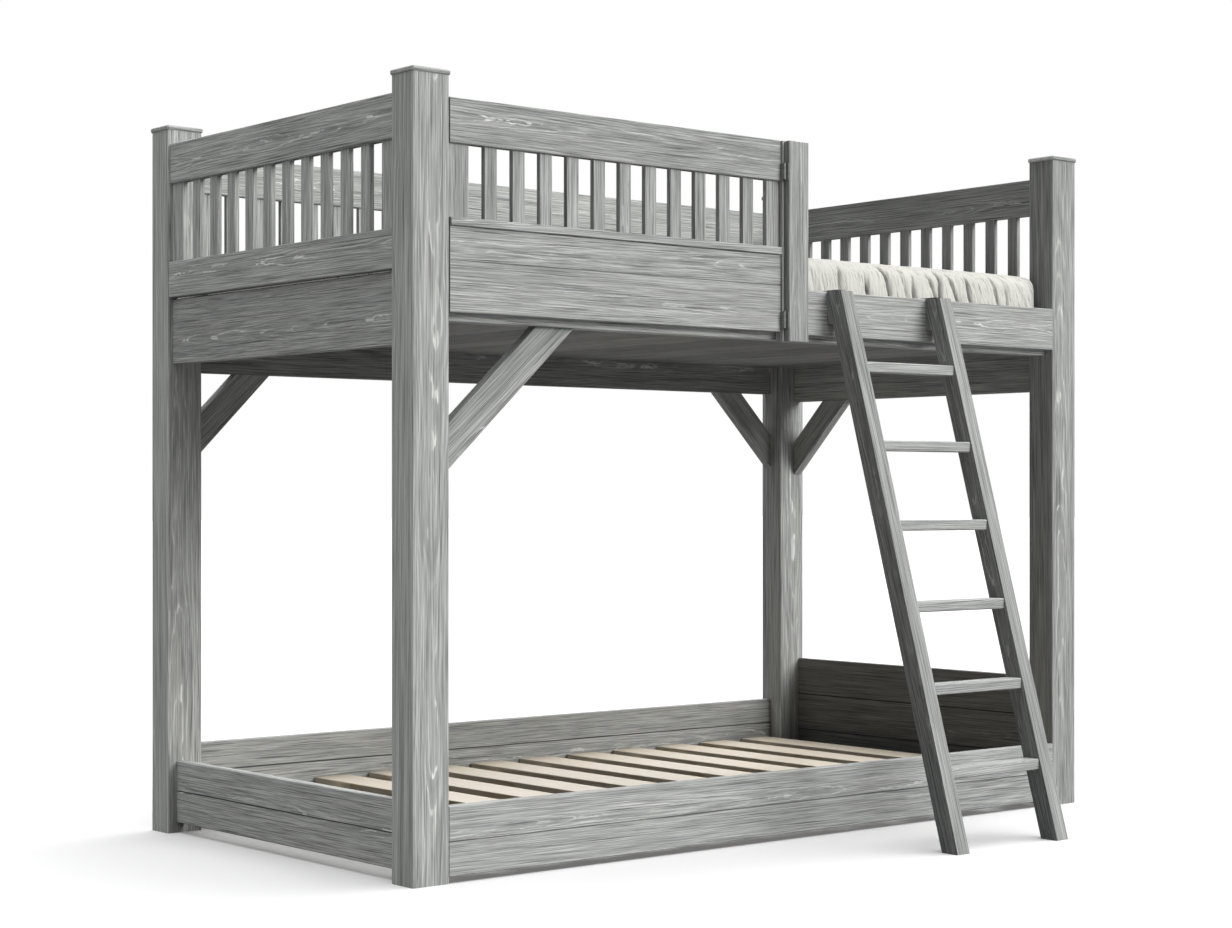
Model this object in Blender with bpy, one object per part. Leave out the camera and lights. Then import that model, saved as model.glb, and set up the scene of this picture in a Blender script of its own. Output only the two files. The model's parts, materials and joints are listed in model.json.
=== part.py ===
"""Bunk bed in grey wood, with a hinged guard gate and a lift-off ladder.

Metres, +Z up. +X runs along the bed towards the ladder's end, -Y faces the front, where the
ladder leans. The origin is the bottom centre of the whole object's box, ladder included.
"""
import math

import bmesh
import bpy
from mathutils import Matrix, Vector

# Fits
GAP = 0.0003               # between pieces that are fixed to each other
EASE = 0.0015              # small chamfer along the edges of rails and boards
GATE_PLAY = 0.002          # between the gate's free end and its post

# Mattress and the room it has; these set the bed's length and width
MATTRESS_LENGTH = 1.905
MATTRESS_WIDTH = 0.990
MATTRESS_HEIGHT = 0.1814
MATTRESS_ROUND = 0.030
MATTRESS_END_ROOM = 0.0155
MATTRESS_FRONT_ROOM = 0.0017
MATTRESS_REAR_ROOM = 0.037

# Posts and caps
POST_X = 0.092
POST_Y = 0.080
POST_EASE = 0.004
POST_ABOVE_GATE = 0.044    # from the top of the gate to the top of the post's wood
CAP_THICKNESS = 0.011
CAP_OVERHANG = 0.0025
CAP_EASE = 0.0025

# Upper bunk, front side: an L-shaped side rail behind the gate and the fascia
BUNK_BASE = 1.177          # underside of the front side rail above the floor
SIDE_RAIL_HEIGHT = 0.075
SIDE_RAIL_WALL = 0.014
SIDE_RAIL_FOOT = 0.010
SIDE_RAIL_SEAT = 0.032     # how far the foot reaches under the deck
FASCIA_RISE = 0.013
FASCIA_HEIGHT = 0.107
FASCIA_THICKNESS = 0.024

# Stub post that carries the gate
GATE_BAY = 0.9635          # from the front left post to the stub post
STUB_WIDTH = 0.0635
STUB_PROUD = 0.020
STUB_DROP = 0.006
STUB_BELOW_GATE_TOP = 0.001
JAMB_PROUD = 0.0045
JAMB_DEPTH = 0.0225
JAMB_SIDE = 0.0020         # room for a hinge leaf on each side of the jamb strip

# Gate and guard levels, from the bottom up
GATE_RISE = 0.017
LOWER_PLANK_HEIGHT = 0.1085
UPPER_PLANK_HEIGHT = 0.0725
PLANK_THICKNESS = 0.020
LEDGE_HEIGHT = 0.0176
LEDGE_PROUD = 0.005
GUARD_SLAT_HEIGHT = 0.1554
TOP_RAIL_HEIGHT = 0.095
RAIL_THICKNESS = 0.024

# Guard slats, made as one frame of slats and stiles with tongues into the rails
SLAT_WIDTH = 0.033
SLAT_PITCH = 0.0765
SLAT_THICKNESS = 0.013
STILE_WIDTH = 0.052
GATE_HINGE_STILE = 0.0405
TONGUE = 0.007
TONGUE_PLAY = 0.0003

# Gate hinges
HINGE_GAP = 0.0095
HINGE_HEIGHT = 0.038
HINGE_LOWER_RISE = 0.028        # from the gate's underside to the lower hinge's middle
HINGE_UPPER_DROP = 0.073        # from the gate's top to the upper hinge's middle
HINGE_FORWARD = 0.0098
BARREL_CLEARANCE = 0.00025      # between a leaf's plate and the other leaf's knuckles
BARREL_HOLE = 0.0019
PIN_RADIUS = 0.0016
LEAF_THICKNESS = 0.0012
LEAF_FRONT_REACH = 0.0088
LEAF_REAR_REACH = 0.016

# End guards and end boards of the upper bunk
END_GUARD_RISE = 0.1077         # from the bunk's base to the bottom rail's underside
END_BOTTOM_RAIL_HEIGHT = 0.0848
END_SLAT_HEIGHT = 0.188
END_TOP_RAIL_HEIGHT = 0.0955
END_TOP_RAIL_INSET = 0.006
END_BOTTOM_RAIL_INSET = 0.002
END_BOTTOM_RAIL_THICKNESS = 0.026
END_BOARD_TOP_DROP = 0.0047     # shadow gap under the bottom rail
END_BOARD_INSET = 0.0125
END_BOARD_THICKNESS = 0.0235
LEFT_BOARD_DROP = 0.052         # below the bunk's base
RIGHT_BOARD_DROP = 0.091

# Rear side of the upper bunk
REAR_INSET = 0.037              # from the posts' rear faces to the rear boards' inner faces
REAR_RAIL_THICKNESS = 0.026
REAR_RAIL_DROP = 0.068
DECK_GROOVE = 0.010

# Deck
DECK_THICKNESS = 0.018

# Knee braces
BRACE_THICKNESS = 0.026
FRONT_BRACE = {"reach": 0.360, "width": 0.0715, "angle": math.radians(42.6)}
REAR_BRACE = {"reach": 0.215, "width": 0.068, "angle": math.radians(45.0)}

# Lower bunk: height of each board's underside, and its planks from the bottom up
LOWER_FRONT = {"base": 0.0147, "planks": (0.0723, 0.0750), "thickness": 0.024}
LOWER_REAR = {"base": 0.0150, "planks": (0.1230, 0.0690), "thickness": 0.024}
LOWER_LEFT = {"base": 0.0250, "planks": (0.0760, 0.0716), "thickness": 0.024, "inset": 0.024}
LOWER_RIGHT = {"base": 0.0150, "planks": (0.1040, 0.1040, 0.1040), "thickness": 0.018, "inset": 0.001}
PLANK_LINE_WIDTH = 0.003
PLANK_LINE_DEPTH = 0.002

# Slats of the lower bunk
BASE_SLAT_TOP = 0.098
BASE_SLAT_THICKNESS = 0.018
BASE_SLAT_WIDTH = 0.100
BASE_SLAT_PITCH = 0.163
BASE_SLAT_PLAY = 0.002
BEARER_HEIGHT = 0.030
BEARER_DEPTH = 0.022
BAND_WIDTH = 0.025
BAND_THICKNESS = 0.0012
BAND_SINK = 0.0004
BAND_INSET = 0.095

# Ladder
LADDER_FROM_STUB = 0.080
LADDER_REACH = 0.4166           # from the bed's front to the front of the feet
LADDER_CLEAR_WIDTH = 0.305
STRINGER_THICKNESS = 0.0395
STRINGER_DEPTH = 0.049          # measured level, front to back
STRINGER_HEEL = 0.078           # height of the upright face that stands against the fascia
STRINGER_HEEL_STEP = 0.0202     # depth of the shoulder under that face
RUNG_COUNT = 6
TOP_RUNG_DROP = 0.169           # from the fascia's top to the top rung's tread
RUNG_THICKNESS = 0.025
RUNG_DEPTH = 0.040
RUNG_SETBACK = 0.002
RUNG_EASE = 0.002
HOOK_WIDTH = 0.024
HOOK_THICKNESS = 0.003
HOOK_ON_STRINGER = 0.028
HOOK_ABOVE_SIDE_RAIL = 0.015     # from the side rail's top to the end of the hook's tail

# Levels
DECK_UNDERSIDE = BUNK_BASE + SIDE_RAIL_FOOT + GAP
DECK_TOP = DECK_UNDERSIDE + DECK_THICKNESS
GATE_BASE = BUNK_BASE + GATE_RISE
UPPER_PLANK_BASE = GATE_BASE + LOWER_PLANK_HEIGHT
LEDGE_BASE = UPPER_PLANK_BASE + UPPER_PLANK_HEIGHT
GUARD_SLAT_BASE = LEDGE_BASE + LEDGE_HEIGHT
TOP_RAIL_BASE = GUARD_SLAT_BASE + GUARD_SLAT_HEIGHT
GATE_TOP = TOP_RAIL_BASE + TOP_RAIL_HEIGHT
POST_HEIGHT = GATE_TOP + POST_ABOVE_GATE
FASCIA_BASE = BUNK_BASE + FASCIA_RISE
FASCIA_TOP = FASCIA_BASE + FASCIA_HEIGHT
END_RAIL_BASE = BUNK_BASE + END_GUARD_RISE
END_SLAT_BASE = END_RAIL_BASE + END_BOTTOM_RAIL_HEIGHT
END_TOP_RAIL_BASE = END_SLAT_BASE + END_SLAT_HEIGHT
END_BOARD_TOP = END_RAIL_BASE - END_BOARD_TOP_DROP

# Plan, from the mattress out to the posts
SIDE_RAIL_FRONT = FASCIA_THICKNESS + GAP
MATTRESS_FRONT = SIDE_RAIL_FRONT + SIDE_RAIL_WALL + MATTRESS_FRONT_ROOM
INNER_LENGTH = MATTRESS_LENGTH + 2 * MATTRESS_END_ROOM
BED_LENGTH = INNER_LENGTH + 2 * POST_X
BED_WIDTH = MATTRESS_FRONT + MATTRESS_WIDTH + MATTRESS_REAR_ROOM + REAR_INSET
FRONT = (LADDER_REACH - BED_WIDTH - CAP_OVERHANG) / 2
REAR = FRONT + BED_WIDTH
LEFT = -BED_LENGTH / 2
RIGHT = BED_LENGTH / 2
INNER_LEFT = LEFT + POST_X
INNER_RIGHT = RIGHT - POST_X
INNER_FRONT = FRONT + POST_Y
INNER_REAR = REAR - POST_Y
REAR_BOARD = REAR - REAR_INSET          # inner faces of the rear boards

# Rails between posts
SPAN_START = INNER_LEFT + GAP
SPAN_LENGTH = INNER_LENGTH - 2 * GAP
END_START = INNER_FRONT + GAP
END_LENGTH = INNER_REAR - INNER_FRONT - 2 * GAP

STUB_LEFT = INNER_LEFT + GATE_BAY
STUB_RIGHT = STUB_LEFT + STUB_WIDTH
GATE_LEFT = INNER_LEFT + GATE_PLAY
GATE_RIGHT = STUB_LEFT - HINGE_GAP
GATE_LENGTH = GATE_RIGHT - GATE_LEFT
HINGE_X = STUB_LEFT - HINGE_GAP / 2
HINGE_Y = FRONT - HINGE_FORWARD
BARREL_RADIUS = HINGE_GAP / 2 - GAP - LEAF_THICKNESS - BARREL_CLEARANCE

# Ladder
HEEL_BASE = FASCIA_TOP - STRINGER_HEEL
LADDER_LEFT = STUB_RIGHT + LADDER_FROM_STUB
LADDER_SLOPE = (LADDER_REACH - STRINGER_DEPTH - STRINGER_HEEL_STEP) / HEEL_BASE   # back for each metre up
RUNG_RISE = (FASCIA_TOP - TOP_RUNG_DROP) / RUNG_COUNT
HOOK_TAIL = FASCIA_TOP - (BUNK_BASE + SIDE_RAIL_HEIGHT) - HOOK_ABOVE_SIDE_RAIL

WOOD = ("grey_wood", (0.36, 0.37, 0.35), 0.60, 0.0)
PINE = ("pine_slats", (0.72, 0.60, 0.48), 0.65, 0.0)
FABRIC = ("mattress_cover", (0.73, 0.72, 0.68), 0.90, 0.0)
STEEL = ("steel", (0.35, 0.35, 0.36), 0.40, 1.0)

# Which way an outline faces, and the axis that it is drawn out along
FACING = {
    "YZ": (Matrix(((0, 0, 1), (1, 0, 0), (0, 1, 0))), Vector((1, 0, 0))),
    "XZ": (Matrix(((1, 0, 0), (0, 0, -1), (0, 1, 0))), Vector((0, 1, 0))),
    "XY": (Matrix.Identity(3), Vector((0, 0, 1))),
}


def clear_scene():
    """Removes what is in the scene already."""
    for old in list(bpy.data.objects):
        bpy.data.objects.remove(old, do_unlink=True)


def collection(name):
    """A collection of the scene, made when it is first asked for."""
    found = bpy.data.collections.get(name)
    if found is None:
        found = bpy.data.collections.new(name)
        bpy.context.scene.collection.children.link(found)
    return found


def material(finish):
    """A Principled material, made once for each finish."""
    name, colour, roughness, metallic = finish
    made = bpy.data.materials.get(name)
    if made is None:
        made = bpy.data.materials.new(name)
        made.use_nodes = True
        shader = made.node_tree.nodes["Principled BSDF"]
        shader.inputs["Base Color"].default_value = (*colour, 1.0)
        shader.inputs["Roughness"].default_value = roughness
        shader.inputs["Metallic"].default_value = metallic
        made.diffuse_color = (*colour, 1.0)
    return made


def add_object(name, data, finish, group=None):
    """Puts a mesh or curve in the bed's collection, under its group's empty."""
    thing = bpy.data.objects.new(name, data)
    data.materials.append(material(finish))
    collection("bunk_bed").objects.link(thing)
    if group is not None:
        thing.parent = group
        thing.matrix_parent_inverse = Matrix.Translation(-group.location)
    return thing


def axis_empty(name, location):
    """An empty on a moving body's joint, for its pieces to hang under."""
    empty = bpy.data.objects.new(name, None)
    empty.location = location
    collection("bunk_bed").objects.link(empty)
    return empty


def extruded(name, outlines, facing, low, depth, finish, group=None):
    """A flat outline, with any holes, drawn out by depth from its corner at low."""
    curve = bpy.data.curves.new(name, "CURVE")
    curve.dimensions = "2D"
    curve.fill_mode = "BOTH"
    curve.extrude = depth / 2
    for outline in outlines:
        spline = curve.splines.new("POLY")
        spline.points.add(len(outline) - 1)
        for point, (across, up) in zip(spline.points, outline):
            point.co = (across, up, 0.0, 1.0)
        spline.use_cyclic_u = True
    turn, along = FACING[facing]
    thing = add_object(name, curve, finish, group)
    thing.location = Vector(low) + along * (depth / 2)
    thing.rotation_euler = turn.to_euler()
    return thing


def block_mesh(name, blocks):
    """A mesh of separate boxes, each given by its low corner and its size."""
    solid = bmesh.new()
    for low, size in blocks:
        centre = Vector(low) + Vector(size) / 2
        place = Matrix.Translation(centre) @ Matrix.Diagonal((*size, 1.0))
        bmesh.ops.create_cube(solid, size=1.0, matrix=place)
    mesh = bpy.data.meshes.new(name)
    solid.to_mesh(mesh)
    solid.free()
    return mesh


def eased_box(name, low, size, finish, ease, along=None, segments=1, group=None):
    """A box whose edges are eased: all of them, or only those that run along one axis."""
    mesh = block_mesh(name, [(tuple(-value / 2 for value in size), size)])
    solid = bmesh.new()
    solid.from_mesh(mesh)
    edges = solid.edges[:]
    if along is not None:
        edges = [edge for edge in edges
                 if abs((edge.verts[0].co - edge.verts[1].co).normalized()[along]) > 0.99]
    bmesh.ops.bevel(solid, geom=edges, offset=ease, segments=segments, profile=0.5, affect="EDGES")
    solid.to_mesh(mesh)
    solid.free()
    thing = add_object(name, mesh, finish, group)
    thing.location = Vector(low) + Vector(size) / 2
    return thing


def helper(name, mesh):
    """A solid that only cuts or joins another, kept apart from the bed's pieces."""
    thing = bpy.data.objects.new(name, mesh)
    thing.hide_render = True
    thing.display_type = "WIRE"
    collection("cutters").objects.link(thing)
    return thing


def combine(thing, other, operation):
    """Cuts or joins one solid with another."""
    modifier = thing.modifiers.new(other.name, "BOOLEAN")
    modifier.operation = operation
    modifier.solver = "EXACT"
    modifier.object = other


def section(thickness, height, ease=EASE, low_groove=None, top_groove=None, lines=(), seat=None):
    """Outline across a rail or board: its faces at 0 and thickness, its underside at 0.

    low_groove and top_groove are (start, end, depth) across the thickness. lines are heights of
    V-shaped plank lines on both faces. seat is (bottom, top, depth) of a groove in the first face.
    """
    half = PLANK_LINE_WIDTH / 2
    outline = [(ease, 0)]
    if low_groove:
        start, end, depth = low_groove
        outline += [(start, 0), (start, depth), (end, depth), (end, 0)]
    outline += [(thickness - ease, 0), (thickness, ease)]
    for level in lines:
        outline += [(thickness, level - half), (thickness - PLANK_LINE_DEPTH, level),
                    (thickness, level + half)]
    outline += [(thickness, height - ease), (thickness - ease, height)]
    if top_groove:
        start, end, depth = top_groove
        outline += [(end, height), (end, height - depth), (start, height - depth), (start, height)]
    outline += [(ease, height), (0, height - ease)]
    if seat:
        bottom, top, depth = seat
        outline += [(0, top), (depth, top), (depth, bottom), (0, bottom)]
    for level in reversed(lines):
        outline += [(0, level + half), (PLANK_LINE_DEPTH, level), (0, level - half)]
    outline += [(0, ease)]
    return outline


def tongue_groove(slat_offset):
    """The groove in a rail that takes the guard slats' tongues."""
    start = slat_offset - TONGUE_PLAY
    return (start, start + SLAT_THICKNESS + 2 * TONGUE_PLAY, TONGUE + TONGUE_PLAY)


def slat_frame(name, facing, low, length, height, left_stile, right_stile, group=None):
    """Guard slats and end stiles in one frame, whose top and bottom bands are the tongues."""
    clear = length - left_stile - right_stile
    count = max(1, round((clear - (SLAT_PITCH - SLAT_WIDTH)) / SLAT_PITCH))
    window = (clear - count * SLAT_WIDTH) / (count + 1)
    outlines = [[(0, -TONGUE), (length, -TONGUE), (length, height + TONGUE), (0, height + TONGUE)]]
    for index in range(count + 1):
        start = left_stile + index * (window + SLAT_WIDTH)
        outlines.append([(start, 0), (start, height), (start + window, height), (start + window, 0)])
    return extruded(name, outlines, facing, low, SLAT_THICKNESS, WOOD, group)


def plank_lines(planks):
    """Heights of the lines between planks, above the board's underside."""
    return [sum(planks[:index]) for index in range(1, len(planks))]


def make_posts():
    """Four posts with eased edges, each with its flat cap."""
    corners = {
        "front_left": (LEFT, FRONT),
        "front_right": (INNER_RIGHT, FRONT),
        "rear_left": (LEFT, INNER_REAR),
        "rear_right": (INNER_RIGHT, INNER_REAR),
    }
    for corner, (x, y) in corners.items():
        eased_box(f"post_{corner}", (x, y, 0), (POST_X, POST_Y, POST_HEIGHT), WOOD, POST_EASE,
                  along=2, segments=2)
        low = (x - CAP_OVERHANG, y - CAP_OVERHANG, POST_HEIGHT + GAP)
        size = (POST_X + 2 * CAP_OVERHANG, POST_Y + 2 * CAP_OVERHANG, CAP_THICKNESS)
        eased_box(f"cap_{corner}", low, size, WOOD, CAP_EASE)


def make_front_side():
    """Front side rail, fascia rail, stub post and the jamb strip beside the gate."""
    foot_end = SIDE_RAIL_WALL + SIDE_RAIL_SEAT
    outline = [(0, 0), (foot_end, 0), (foot_end, SIDE_RAIL_FOOT), (SIDE_RAIL_WALL, SIDE_RAIL_FOOT),
               (SIDE_RAIL_WALL, SIDE_RAIL_HEIGHT), (0, SIDE_RAIL_HEIGHT)]
    extruded("upper_side_rail_front", [outline], "YZ", (SPAN_START, FRONT + SIDE_RAIL_FRONT, BUNK_BASE),
             SPAN_LENGTH, WOOD)
    fascia_start = STUB_RIGHT + GAP
    extruded("front_fascia_rail", [section(FASCIA_THICKNESS, FASCIA_HEIGHT)], "YZ",
             (fascia_start, FRONT, FASCIA_BASE), INNER_RIGHT - GAP - fascia_start, WOOD)
    stub_base = BUNK_BASE - STUB_DROP
    stub_height = GATE_TOP - STUB_BELOW_GATE_TOP - stub_base
    eased_box("gate_stub_post", (STUB_LEFT, FRONT - STUB_PROUD, stub_base),
              (STUB_WIDTH, STUB_PROUD + FASCIA_THICKNESS, stub_height), WOOD, EASE)
    jamb_left = GATE_RIGHT + JAMB_SIDE
    jamb_width = HINGE_GAP - 2 * JAMB_SIDE
    extruded("gate_jamb_strip", [[(0, 0), (jamb_width, 0), (jamb_width, JAMB_DEPTH), (0, JAMB_DEPTH)]],
             "XY", (jamb_left, FRONT - JAMB_PROUD, stub_base), stub_height, WOOD)


def make_guard(prefix, start, front, length, left_stile, right_stile, group=None):
    """Guard along the bed: planks' ledge, slats and top rail, all with their front faces at front."""
    slat_offset = (RAIL_THICKNESS - SLAT_THICKNESS) / 2
    ledge_groove = tongue_groove(slat_offset + LEDGE_PROUD)
    rail_groove = tongue_groove(slat_offset)
    extruded(f"{prefix}_ledge",
             [section(RAIL_THICKNESS + LEDGE_PROUD, LEDGE_HEIGHT - GAP, top_groove=ledge_groove)], "YZ",
             (start, front - LEDGE_PROUD, LEDGE_BASE), length, WOOD, group)
    slat_frame(f"{prefix}_slats", "XZ", (start, front + slat_offset, GUARD_SLAT_BASE), length,
               GUARD_SLAT_HEIGHT, left_stile, right_stile, group)
    extruded(f"{prefix}_top_rail", [section(RAIL_THICKNESS, TOP_RAIL_HEIGHT, low_groove=rail_groove)], "YZ",
             (start, front, TOP_RAIL_BASE), length, WOOD, group)


def round_mesh(name, radius, bottom, height):
    """An upright cylinder round the hinge's axis."""
    solid = bmesh.new()
    bmesh.ops.create_cone(solid, cap_ends=True, segments=16, radius1=radius, radius2=radius, depth=height,
                          matrix=Matrix.Translation((0, 0, bottom + height / 2)))
    mesh = bpy.data.meshes.new(name)
    solid.to_mesh(mesh)
    solid.free()
    return mesh


def hinge_leaf(name, side, front, rear, base, knuckles, group):
    """A leaf on one side of the hinge's axis (side 1 or -1), with knuckles as (bottom, height)."""
    outer = HINGE_GAP / 2 - GAP
    near_x = side * outer if side < 0 else outer - LEAF_THICKNESS
    plate = ((near_x, front, base), (LEAF_THICKNESS, rear - front, HINGE_HEIGHT))
    leaf = add_object(name, block_mesh(name, [plate]), STEEL, group)
    leaf.location = (HINGE_X, HINGE_Y, 0)
    reach = outer - LEAF_THICKNESS / 2
    web_x = -reach if side < 0 else 0
    for index, (bottom, height) in enumerate(knuckles):
        web = ((web_x, -BARREL_RADIUS / 2, bottom), (reach, BARREL_RADIUS, height))
        for part, mesh in (("web", block_mesh(f"{name}_web_{index}", [web])),
                           ("barrel", round_mesh(f"{name}_barrel_{index}", BARREL_RADIUS, bottom, height))):
            joined = helper(f"{name}_{part}_{index}", mesh)
            joined.location = leaf.location
            combine(leaf, joined, "UNION")
    return leaf


def make_hinges(gate):
    """Two butt hinges: a leaf on the gate's end and a leaf on the stub post, with the pin."""
    third = HINGE_HEIGHT / 3
    levels = {"lower": GATE_BASE + HINGE_LOWER_RISE, "upper": GATE_TOP - HINGE_UPPER_DROP}
    for place, level in levels.items():
        base = level - HINGE_HEIGHT / 2
        ends = [(base, third - GAP), (base + 2 * third + GAP, third - GAP)]
        gate_leaf = hinge_leaf(f"hinge_{place}_gate_leaf", -1, -BARREL_RADIUS,
                               HINGE_FORWARD + LEAF_REAR_REACH, base, ends, gate)
        bore = round_mesh(f"{gate_leaf.name}_bore", BARREL_HOLE, base - third, HINGE_HEIGHT + 2 * third)
        post_leaf = hinge_leaf(f"hinge_{place}_post_leaf", 1, -LEAF_FRONT_REACH, BARREL_RADIUS, base,
                               [(base + third, third)], None)
        pin = round_mesh(f"{post_leaf.name}_pin", PIN_RADIUS, base - GAP, HINGE_HEIGHT + 2 * GAP)
        for leaf, mesh, operation in ((gate_leaf, bore, "DIFFERENCE"), (post_leaf, pin, "UNION")):
            other = helper(mesh.name, mesh)
            other.location = leaf.location
            combine(leaf, other, operation)


def make_gate():
    """The gate: two planks, ledge, slats and top rail, turning on the stub post's hinges."""
    gate = axis_empty("gate_hinge_axis", (HINGE_X, HINGE_Y, GATE_BASE))
    plank_levels = {
        "gate_lower_plank": (GATE_BASE, LOWER_PLANK_HEIGHT),
        "gate_upper_plank": (UPPER_PLANK_BASE, UPPER_PLANK_HEIGHT),
    }
    for name, (base, height) in plank_levels.items():
        extruded(name, [section(PLANK_THICKNESS, height - GAP)], "YZ", (GATE_LEFT, FRONT, base),
                 GATE_LENGTH, WOOD, gate)
    make_guard("gate", GATE_LEFT, FRONT, GATE_LENGTH, STILE_WIDTH, GATE_HINGE_STILE, gate)
    make_hinges(gate)


def make_end(side):
    """Guard and end board at the left or right end of the upper bunk."""
    left = side == "left"

    def from_outer(inset, thickness):
        return LEFT + inset if left else RIGHT - inset - thickness

    rail_x = from_outer(END_TOP_RAIL_INSET, RAIL_THICKNESS)
    slat_x = from_outer(END_TOP_RAIL_INSET + (RAIL_THICKNESS - SLAT_THICKNESS) / 2, SLAT_THICKNESS)
    low_rail_x = from_outer(END_BOTTOM_RAIL_INSET, END_BOTTOM_RAIL_THICKNESS)
    board_x = from_outer(END_BOARD_INSET, END_BOARD_THICKNESS)
    low_groove = tongue_groove(slat_x - rail_x)
    top_groove = tongue_groove(slat_x - low_rail_x)
    extruded(f"{side}_guard_top_rail",
             [section(RAIL_THICKNESS, END_TOP_RAIL_HEIGHT, low_groove=low_groove)], "XZ",
             (rail_x, END_START, END_TOP_RAIL_BASE), END_LENGTH, WOOD)
    slat_frame(f"{side}_guard_slats", "YZ", (slat_x, END_START, END_SLAT_BASE), END_LENGTH,
               END_SLAT_HEIGHT, STILE_WIDTH, STILE_WIDTH)
    extruded(f"{side}_guard_bottom_rail",
             [section(END_BOTTOM_RAIL_THICKNESS, END_BOTTOM_RAIL_HEIGHT, top_groove=top_groove)], "XZ",
             (low_rail_x, END_START, END_RAIL_BASE), END_LENGTH, WOOD)
    base = BUNK_BASE - (LEFT_BOARD_DROP if left else RIGHT_BOARD_DROP)
    extruded(f"upper_end_board_{side}", [section(END_BOARD_THICKNESS, END_BOARD_TOP - base)], "XZ",
             (board_x, END_START, base), END_LENGTH, WOOD)


def make_rear_side():
    """Rear side rail with the deck's groove, and the rear guard above it."""
    base = BUNK_BASE - REAR_RAIL_DROP
    height = UPPER_PLANK_BASE - GAP - base
    seat = (DECK_UNDERSIDE - GAP - base, DECK_TOP + GAP - base, DECK_GROOVE)
    extruded("upper_side_rail_rear", [section(REAR_RAIL_THICKNESS, height, seat=seat)], "YZ",
             (SPAN_START, REAR_BOARD, base), SPAN_LENGTH, WOOD)
    extruded("rear_guard_plank", [section(PLANK_THICKNESS, UPPER_PLANK_HEIGHT - GAP)], "YZ",
             (SPAN_START, REAR_BOARD, UPPER_PLANK_BASE), SPAN_LENGTH, WOOD)
    make_guard("rear_guard", SPAN_START, REAR_BOARD, SPAN_LENGTH, STILE_WIDTH, STILE_WIDTH)


def make_deck():
    """The deck, notched round the posts."""
    front = FRONT + SIDE_RAIL_FRONT + SIDE_RAIL_WALL + GAP
    rear = REAR_BOARD + DECK_GROOVE - GAP
    end_front = INNER_FRONT + GAP
    end_rear = INNER_REAR - GAP
    reach = BED_LENGTH / 2 - END_BOARD_INSET - END_BOARD_THICKNESS - GAP
    half = SPAN_LENGTH / 2
    outline = [(-half, front), (half, front), (half, end_front), (reach, end_front),
               (reach, end_rear), (half, end_rear), (half, rear), (-half, rear),
               (-half, end_rear), (-reach, end_rear), (-reach, end_front), (-half, end_front)]
    extruded("deck_panel", [outline], "XY", (0, 0, DECK_UNDERSIDE), DECK_THICKNESS, WOOD)


def make_mattress():
    """The upper mattress, as a plain rounded block."""
    eased_box("mattress", (-MATTRESS_LENGTH / 2, FRONT + MATTRESS_FRONT, DECK_TOP + GAP),
              (MATTRESS_LENGTH, MATTRESS_WIDTH, MATTRESS_HEIGHT), FABRIC, MATTRESS_ROUND, segments=3)


def brace_outline(size, way):
    """Outline of a knee brace from the corner under the rail: way is 1 or -1 along the rail."""
    rise = math.tan(size["angle"])
    reach = size["reach"]
    top = reach - size["width"] / math.sin(size["angle"])
    outline = [(0, -reach * rise), (reach, 0), (top, 0), (0, -top * rise)]
    if way < 0:
        outline = [(-across, up) for across, up in reversed(outline)]
    return outline


def make_braces():
    """Knee braces under the front rail, the rear rail and the right end board."""
    front_y = FRONT + SIDE_RAIL_FRONT + (SIDE_RAIL_WALL + SIDE_RAIL_SEAT - BRACE_THICKNESS) / 2
    extruded("brace_front_left", [brace_outline(FRONT_BRACE, 1)], "XZ",
             (INNER_LEFT + GAP, front_y, BUNK_BASE - GAP), BRACE_THICKNESS, WOOD)
    rear_level = BUNK_BASE - REAR_RAIL_DROP - GAP
    rear_y = REAR_BOARD + (REAR_RAIL_THICKNESS - BRACE_THICKNESS) / 2
    extruded("brace_rear_left", [brace_outline(REAR_BRACE, 1)], "XZ",
             (INNER_LEFT + GAP, rear_y, rear_level), BRACE_THICKNESS, WOOD)
    extruded("brace_rear_right", [brace_outline(REAR_BRACE, -1)], "XZ",
             (INNER_RIGHT - GAP, rear_y, rear_level), BRACE_THICKNESS, WOOD)
    end_x = RIGHT - END_BOARD_INSET - (END_BOARD_THICKNESS + BRACE_THICKNESS) / 2
    extruded("brace_right_end", [brace_outline(REAR_BRACE, -1)], "YZ",
             (end_x, INNER_REAR - GAP, BUNK_BASE - RIGHT_BOARD_DROP - GAP), BRACE_THICKNESS, WOOD)


def lower_board(name, size, facing, low, length):
    """A board round the lower bunk, with a line between its planks."""
    outline = section(size["thickness"], sum(size["planks"]), lines=plank_lines(size["planks"]))
    extruded(name, [outline], facing, (low[0], low[1], size["base"]), length, WOOD)


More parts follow.
